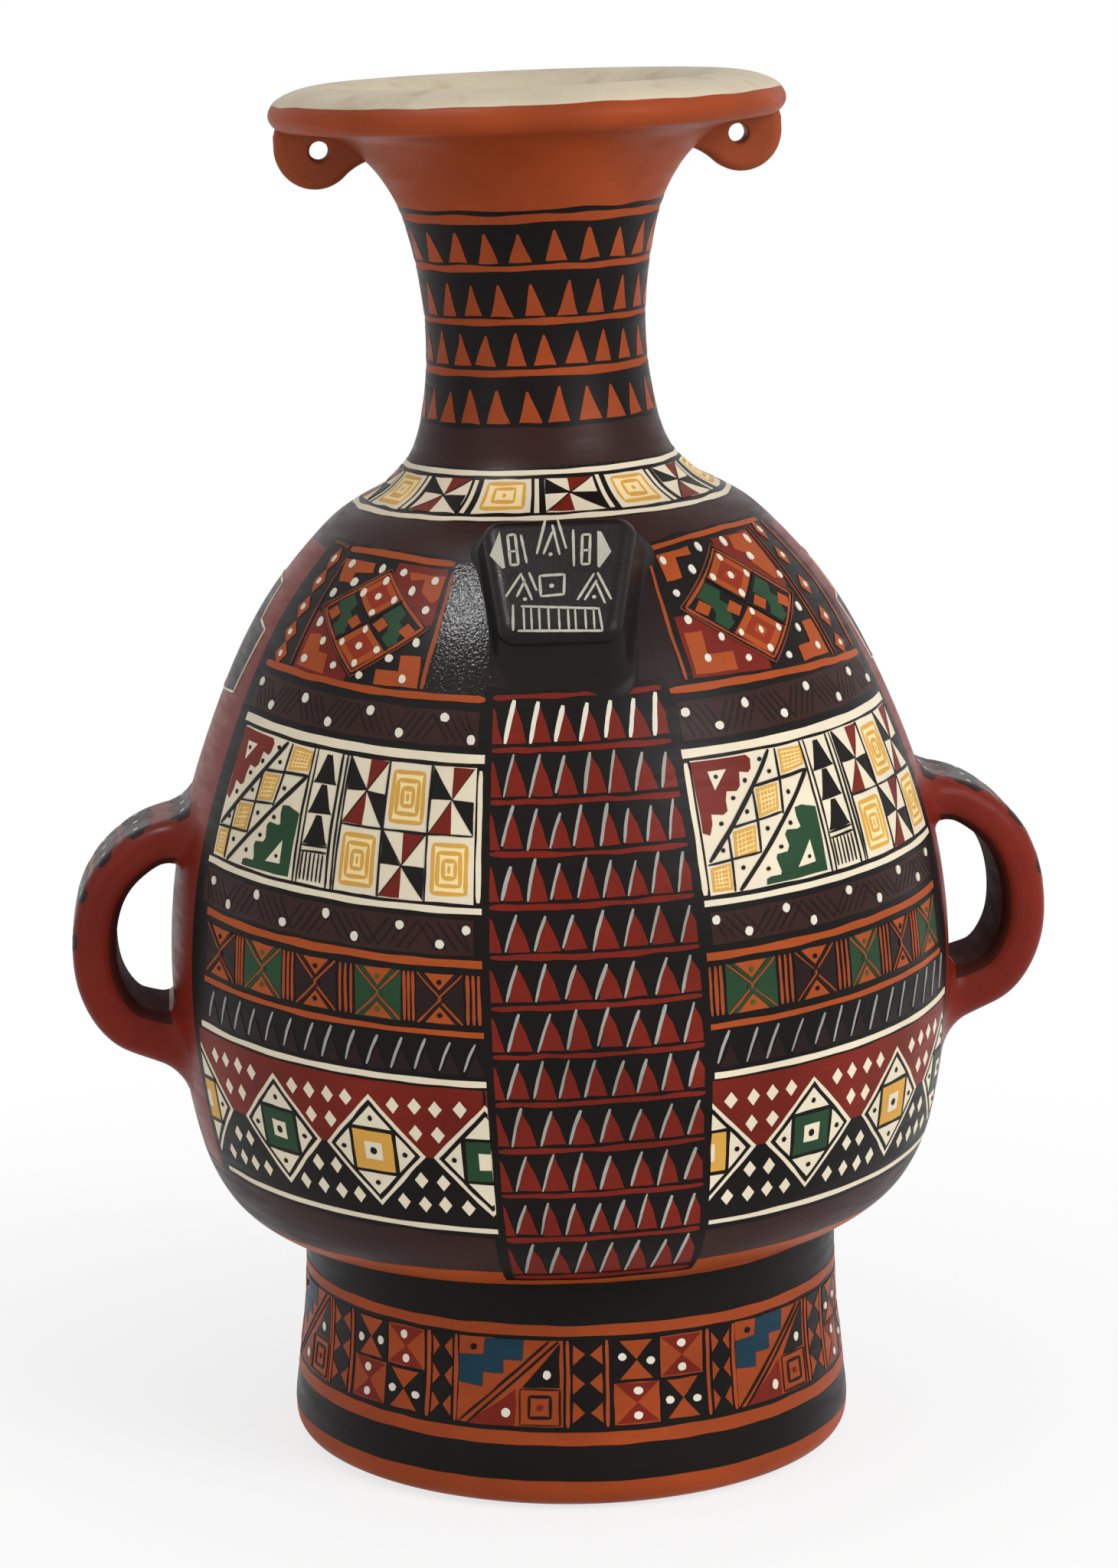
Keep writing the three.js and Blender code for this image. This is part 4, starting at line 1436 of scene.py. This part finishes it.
def nub_point(u, w, depth):
    """A point of the nub: across the face, down the face and into the shoulder."""
    u, w, depth = (np.asarray(v, float) for v in (u, w, depth))
    middle = (NUB_TOP[0] + NUB_BROW[0]) / 2
    out = NUB_TOP[0] + w * math.cos(NUB_ANGLE) - depth * math.sin(NUB_ANGLE) - middle
    high = NUB_TOP[1] - w * math.sin(NUB_ANGLE) - depth * math.cos(NUB_ANGLE)
    x = u * math.cos(NUB_TURN) - out * math.sin(NUB_TURN) + NUB_SHIFT
    y = -u * math.sin(NUB_TURN) - out * math.cos(NUB_TURN) - middle
    return np.column_stack([x, y, high])


def nub_ring(depth, grow, tail):
    """One outline of the nub, with its outward directions across and down the face."""
    low = NUB_LENGTH + tail
    top = NUB_TOP_WIDTH / 2 - NUB_CORNER
    change = (NUB_FOOT_WIDTH - NUB_TOP_WIDTH) * low / NUB_LENGTH
    foot = (NUB_TOP_WIDTH + change) / 2 - NUB_CORNER
    w0, w1 = NUB_CORNER, low - NUB_CORNER
    points, normals = rounded(((top, w0), (foot, w1), (-foot, w1), (-top, w0)), NUB_CORNER + grow, -90)
    return np.column_stack([points, np.full(len(points), depth)]), np.array(normals)


def nub():
    """The carved nub: a flat face with a round edge, whose sides run into the shoulder."""
    tail = math.hypot(NUB_CHIN[0] - NUB_BROW[0], NUB_CHIN[1] - NUB_BROW[1])
    rings = []
    for step in range(8, -1, -1):
        turn = step * math.pi / 16
        rings.append(nub_ring(NUB_EDGE * (1 - math.sin(turn)), -NUB_EDGE * (1 - math.cos(turn)), 0))
    deep = 30
    for step in range(1, deep + 1):
        share = step / deep
        depth = NUB_EDGE + (NUB_DEPTH - NUB_EDGE) * share
        rings.append(nub_ring(depth, NUB_DEPTH * NUB_DRAFT * share, tail * share))
    # small rings inside the face keep its shading flat
    face_ring, _ = nub_ring(0, -NUB_EDGE, 0)
    centre = face_ring.mean(axis=0)
    loops = [nub_point(*(centre + (face_ring - centre) * share).T) for share in (0.5, 0.94)]
    for ring_points, normals in rings:
        close = np.clip(1 - clearance(nub_point(*ring_points.T)) / 3.5, 0, 1)
        fillet = NUB_FILLET * (1 - np.sqrt(1 - close**2))
        ring_points[:, :2] += normals * fillet[:, None]
        loops.append(nub_point(*ring_points.T))
    count = len(face_ring)
    faces = net(len(loops), count)
    faces.append(tuple(range(count)))
    faces.append(tuple((len(loops) - 1) * count + i for i in range(count))[::-1])
    obj = make_object("carved_nub", leaned(np.vstack(loops)), faces, dark_slip, 60, reckon=True)
    stand_in(obj, "dark_slip", "front_nub")


def lip_slip():
    """The cream slip that covers the top of the lip down to a wavering edge."""
    start = int(np.argmax(lip[:, 1] > 347.3))
    curve = np.vstack([lip[start:], part_of(inside, LIP_JOINT - 12, inside[-1][1])[::-1]])
    along = unit(np.gradient(curve, axis=0))
    normal = -left_of(along)
    angles = np.radians(np.arange(AROUND) * 360 / AROUND)
    edge = sum(0.09 * np.sin(k * angles + rng.uniform(0, 6)) for k in (2, 3, 5, 9, 14, 23))
    edge += waver(AROUND, 0.06, 2)
    points = []
    for lift, order in ((0.1, 1), (-0.2, -1)):
        for i in range(len(curve))[::order]:
            r, z = curve[i] + normal[i] * lift
            share = max(0.0, 1 - i / 6)
            points.append(turned(r + along[i][0] * edge * share, angles, z + along[i][1] * edge * share))
    faces = net(len(points), AROUND, looped=True)
    material = clay_material("lip_cream", (200, 187, 163), 0.88, 1.08, (0.5, 0.62), 0.2, worn=0.28)
    stand_in(make_object("lip_cream_slip", leaned(np.vstack(points)), faces, material), "cream_slip")


def nub_marks():
    """White marks on the carved face: eyes and brows above, a square, and a row of teeth."""
    points, faces = [], []

    def add(corners):
        start, count = len(points), len(corners)
        across, down = np.array(corners).T
        for depth in (-0.09, 0.05):
            points.extend(nub_point(across, down, np.full(count, depth)))
        triangles = tessellate_polygon([[Vector((u, w, 0)) for u, w in corners]])
        sides = net(2, count)
        faces.extend(shifted([tuple(t) for t in triangles] + sides, start))

    def line(a, b, width):
        a, b = np.array(a, float), np.array(b, float)
        length = np.linalg.norm(b - a)
        along = (b - a) / length
        side = np.array([-along[1], along[0]])
        steps = max(2, int(length / 1.2))
        left, right = [], []
        for i in range(steps + 1):
            p = a + (b - a) * i / steps
            half = width / 2 * rng.uniform(0.85, 1.15) * (0.7 if i in (0, steps) else 1)
            left.append(tuple(p + side * half))
            right.append(tuple(p - side * half))
        add(left + right[::-1])

    # marks in millimetres across and down the face
    add([(-14.2, 4.0), (-12.9, 14.1), (-13.6, 14.3), (-16.6, 10.6)])
    add([(9.3, 4.8), (10.3, 5.1), (12.6, 10.6), (9.7, 14.9), (9.2, 14.5)])
    for corners in (
        [(-12.3, 5.2), (-10.5, 5.0), (-9.7, 13.3), (-11.6, 13.4)],
        [(5.7, 5.7), (7.6, 5.7), (7.3, 13.8), (5.4, 13.8)],
        [(-4.7, 16.6), (1.3, 16.4), (1.1, 21.8), (-4.4, 22.2)],
    ):
        for a, b in zip(corners, corners[1:] + corners[:1]):
            line(a, b, 0.68)
    for a, b in (
        ((-12.0, 9.7), (-10.0, 9.6)), ((5.6, 10.0), (7.5, 10.0)), ((-9.1, 5.2), (-7.7, 13.0)),
        ((3.5, 4.2), (3.6, 14.3)), ((-3.2, 1.4), (-5.3, 10.6)), ((-1.5, 4.6), (-3.7, 10.7)),
        ((-1.5, 2.7), (0.2, 11.0)), ((-0.2, 1.3), (1.8, 9.4)), ((-9.0, 15.7), (-12.8, 22.0)),
        ((-8.1, 17.6), (-10.2, 22.1)), ((-9.0, 16.3), (-6.5, 23.1)), ((-7.2, 15.6), (-5.4, 20.6)),
        ((8.4, 16.4), (4.3, 23.5)), ((9.0, 18.3), (6.0, 23.6)), ((8.9, 19.1), (10.9, 24.6)),
        ((9.2, 16.2), (12.4, 23.6)), ((-11.1, 24.2), (-11.1, 31.2)), ((-9.2, 24.7), (9.6, 26.0)),
        ((-10.0, 31.3), (10.2, 32.0)), ((9.4, 26.0), (10.2, 32.0)),
    ):
        line(a, b, 0.62)
    for u in (-8.6, -6.8, -4.9, -2.7, -0.2, 2.0, 3.7, 6.1, 8.1):
        line((u, 24.8 + (u + 9) * 0.07), (u + 0.2, 31.4), 0.5)
    for u, w, size in ((-2.0, 10.8, 1.0), (-8.2, 22.8, 1.0), (8.3, 22.8, 1.0), (-1.8, 19.4, 1.2)):
        turn = np.linspace(0, 5.6, 9)
        add([(u + size / 2 * math.cos(a), w + size / 2 * math.sin(a)) for a in turn])
    material = clay_material("nub_white", (186, 182, 166), 0.62, 1.1, (0.38, 0.55))
    obj = make_object("nub_marks", leaned(np.array(points)), faces, material, 50, reckon=True)
    stand_in(obj, "cream_slip")


vessel()
handles()
ears()
nub()
lay_coats()
lip_slip()
nub_marks()


# Studio

DAYLIGHT = 0.6  # strength of the white surroundings as light
CAMERA_TURN = math.radians(5.0)  # the nub faces this far to the right of the camera's axis
CAMERA_PITCH = math.radians(11.18)
CAMERA_ROLL = math.radians(0.43)
CAMERA_DISTANCE = 1124.0
CAMERA_SIDE = -2.1
CAMERA_HEIGHT = 393.2
FOCAL_SHARE = 5798 / 2048  # focal length over the picture's height
SENSOR = 36
FLOOR_REACH = 30


def link(obj):
    bpy.context.scene.collection.objects.link(obj)
    return obj


def camera():
    sine, cosine = math.sin(CAMERA_TURN), math.cos(CAMERA_TURN)
    x = CAMERA_SIDE * cosine - CAMERA_DISTANCE * sine + AXIS_X
    y = -CAMERA_SIDE * sine - CAMERA_DISTANCE * cosine
    level = math.cos(CAMERA_PITCH)
    ahead = Vector((sine * level, cosine * level, -math.sin(CAMERA_PITCH)))
    right = ahead.cross(Vector((0, 0, 1))).normalized()
    up = right.cross(ahead)
    rolled_right = right * math.cos(CAMERA_ROLL) - up * math.sin(CAMERA_ROLL)
    rolled_up = right * math.sin(CAMERA_ROLL) + up * math.cos(CAMERA_ROLL)
    data = bpy.data.cameras.new("camera")
    data.sensor_fit = "VERTICAL"
    data.sensor_height = SENSOR
    data.lens = SENSOR * FOCAL_SHARE
    data.clip_end = 50
    obj = link(bpy.data.objects.new("camera", data))
    rotation = Matrix((rolled_right, rolled_up, -ahead)).transposed().to_4x4()
    obj.matrix_world = Matrix.Translation(Vector((x, y, CAMERA_HEIGHT)) * MM) @ rotation
    bpy.context.scene.camera = obj


def area_light(name, location, target, size, energy):
    data = bpy.data.lights.new(name, "AREA")
    data.shape = "RECTANGLE"
    data.size, data.size_y = size
    data.energy = energy
    obj = link(bpy.data.objects.new(name, data))
    obj.location = location
    direction = Vector(target) - Vector(location)
    obj.rotation_euler = direction.to_track_quat("-Z", "Y").to_euler()
    return obj


def seen_or_mirrored(tree):
    """The output that is 1 for camera, glossy and transmission rays and 0 for the others."""
    path = new_node(tree, "LightPath")
    total = path.outputs["Is Camera Ray"]
    for kind in ("Is Glossy Ray", "Is Transmission Ray"):
        inputs = {0: total, 1: path.outputs[kind]}
        total = new_node(tree, "Math", inputs, operation="ADD", use_clamp=True).outputs[0]
    return total


def floor():
    """A pale floor that turns white away from the jar and keeps the jar's soft shadow."""
    mesh = bpy.data.meshes.new("floor")
    reach = FLOOR_REACH
    corners = box_corners(-reach, -reach, reach, reach)
    mesh.from_pydata([(x, y, 0) for x, y in corners], [], [(0, 1, 2, 3)])
    material = bpy.data.materials.new("floor")
    material.use_nodes = True
    tree = material.node_tree
    shader = tree.nodes["Principled BSDF"]
    shader.inputs["Base Color"].default_value = (0.92, 0.92, 0.92, 1)
    shader.inputs["Roughness"].default_value = 0.8
    glow = new_node(tree, "Emission", {"Color": (1, 1, 1, 1)})
    spot = new_node(tree, "NewGeometry").outputs["Position"]
    away = new_node(tree, "VectorMath", {0: spot}, operation="LENGTH").outputs["Value"]
    inputs = {"Value": away, "From Min": 0.08, "From Max": 0.42, "To Min": 0.74}
    fade = new_node(tree, "MapRange", inputs, interpolation_type="SMOOTHSTEP")
    inputs = {0: fade.outputs["Result"], 1: seen_or_mirrored(tree)}
    share = new_node(tree, "Math", inputs, operation="MULTIPLY").outputs["Value"]
    inputs = {"Fac": share, 1: shader.outputs["BSDF"], 2: glow.outputs["Emission"]}
    mix = new_node(tree, "MixShader", inputs)
    tree.links.new(mix.outputs["Shader"], tree.nodes["Material Output"].inputs["Surface"])
    mesh.materials.append(material)
    link(bpy.data.objects.new("floor", mesh))


def world():
    """White surroundings, at full strength where they are seen or mirrored."""
    scene_world = bpy.data.worlds.new("studio")
    bpy.context.scene.world = scene_world
    scene_world.use_nodes = True
    tree = scene_world.node_tree
    background = tree.nodes["Background"]
    background.inputs["Color"].default_value = (1, 1, 1, 1)
    inputs = {0: seen_or_mirrored(tree), 1: 1 - DAYLIGHT, 2: DAYLIGHT}
    strength = new_node(tree, "Math", inputs, operation="MULTIPLY_ADD").outputs[0]
    tree.links.new(strength, background.inputs["Strength"])


camera()
floor()
world()
area_light("key", (1.05, -1.1, 1.0), (0, 0, 0.17), (0.9, 0.9), 19)
area_light("fill", (-1.3, -0.9, 0.6), (0, 0, 0.17), (1.0, 1.0), 3)
window = area_light("window", (-0.545, -0.327, 1.27), (-0.03, -0.06, 0.226), (0.16, 0.12), 11)
window.visible_diffuse = False  # it only gives the highlight beside the nub

bpy.context.scene.view_settings.view_transform = "Standard"
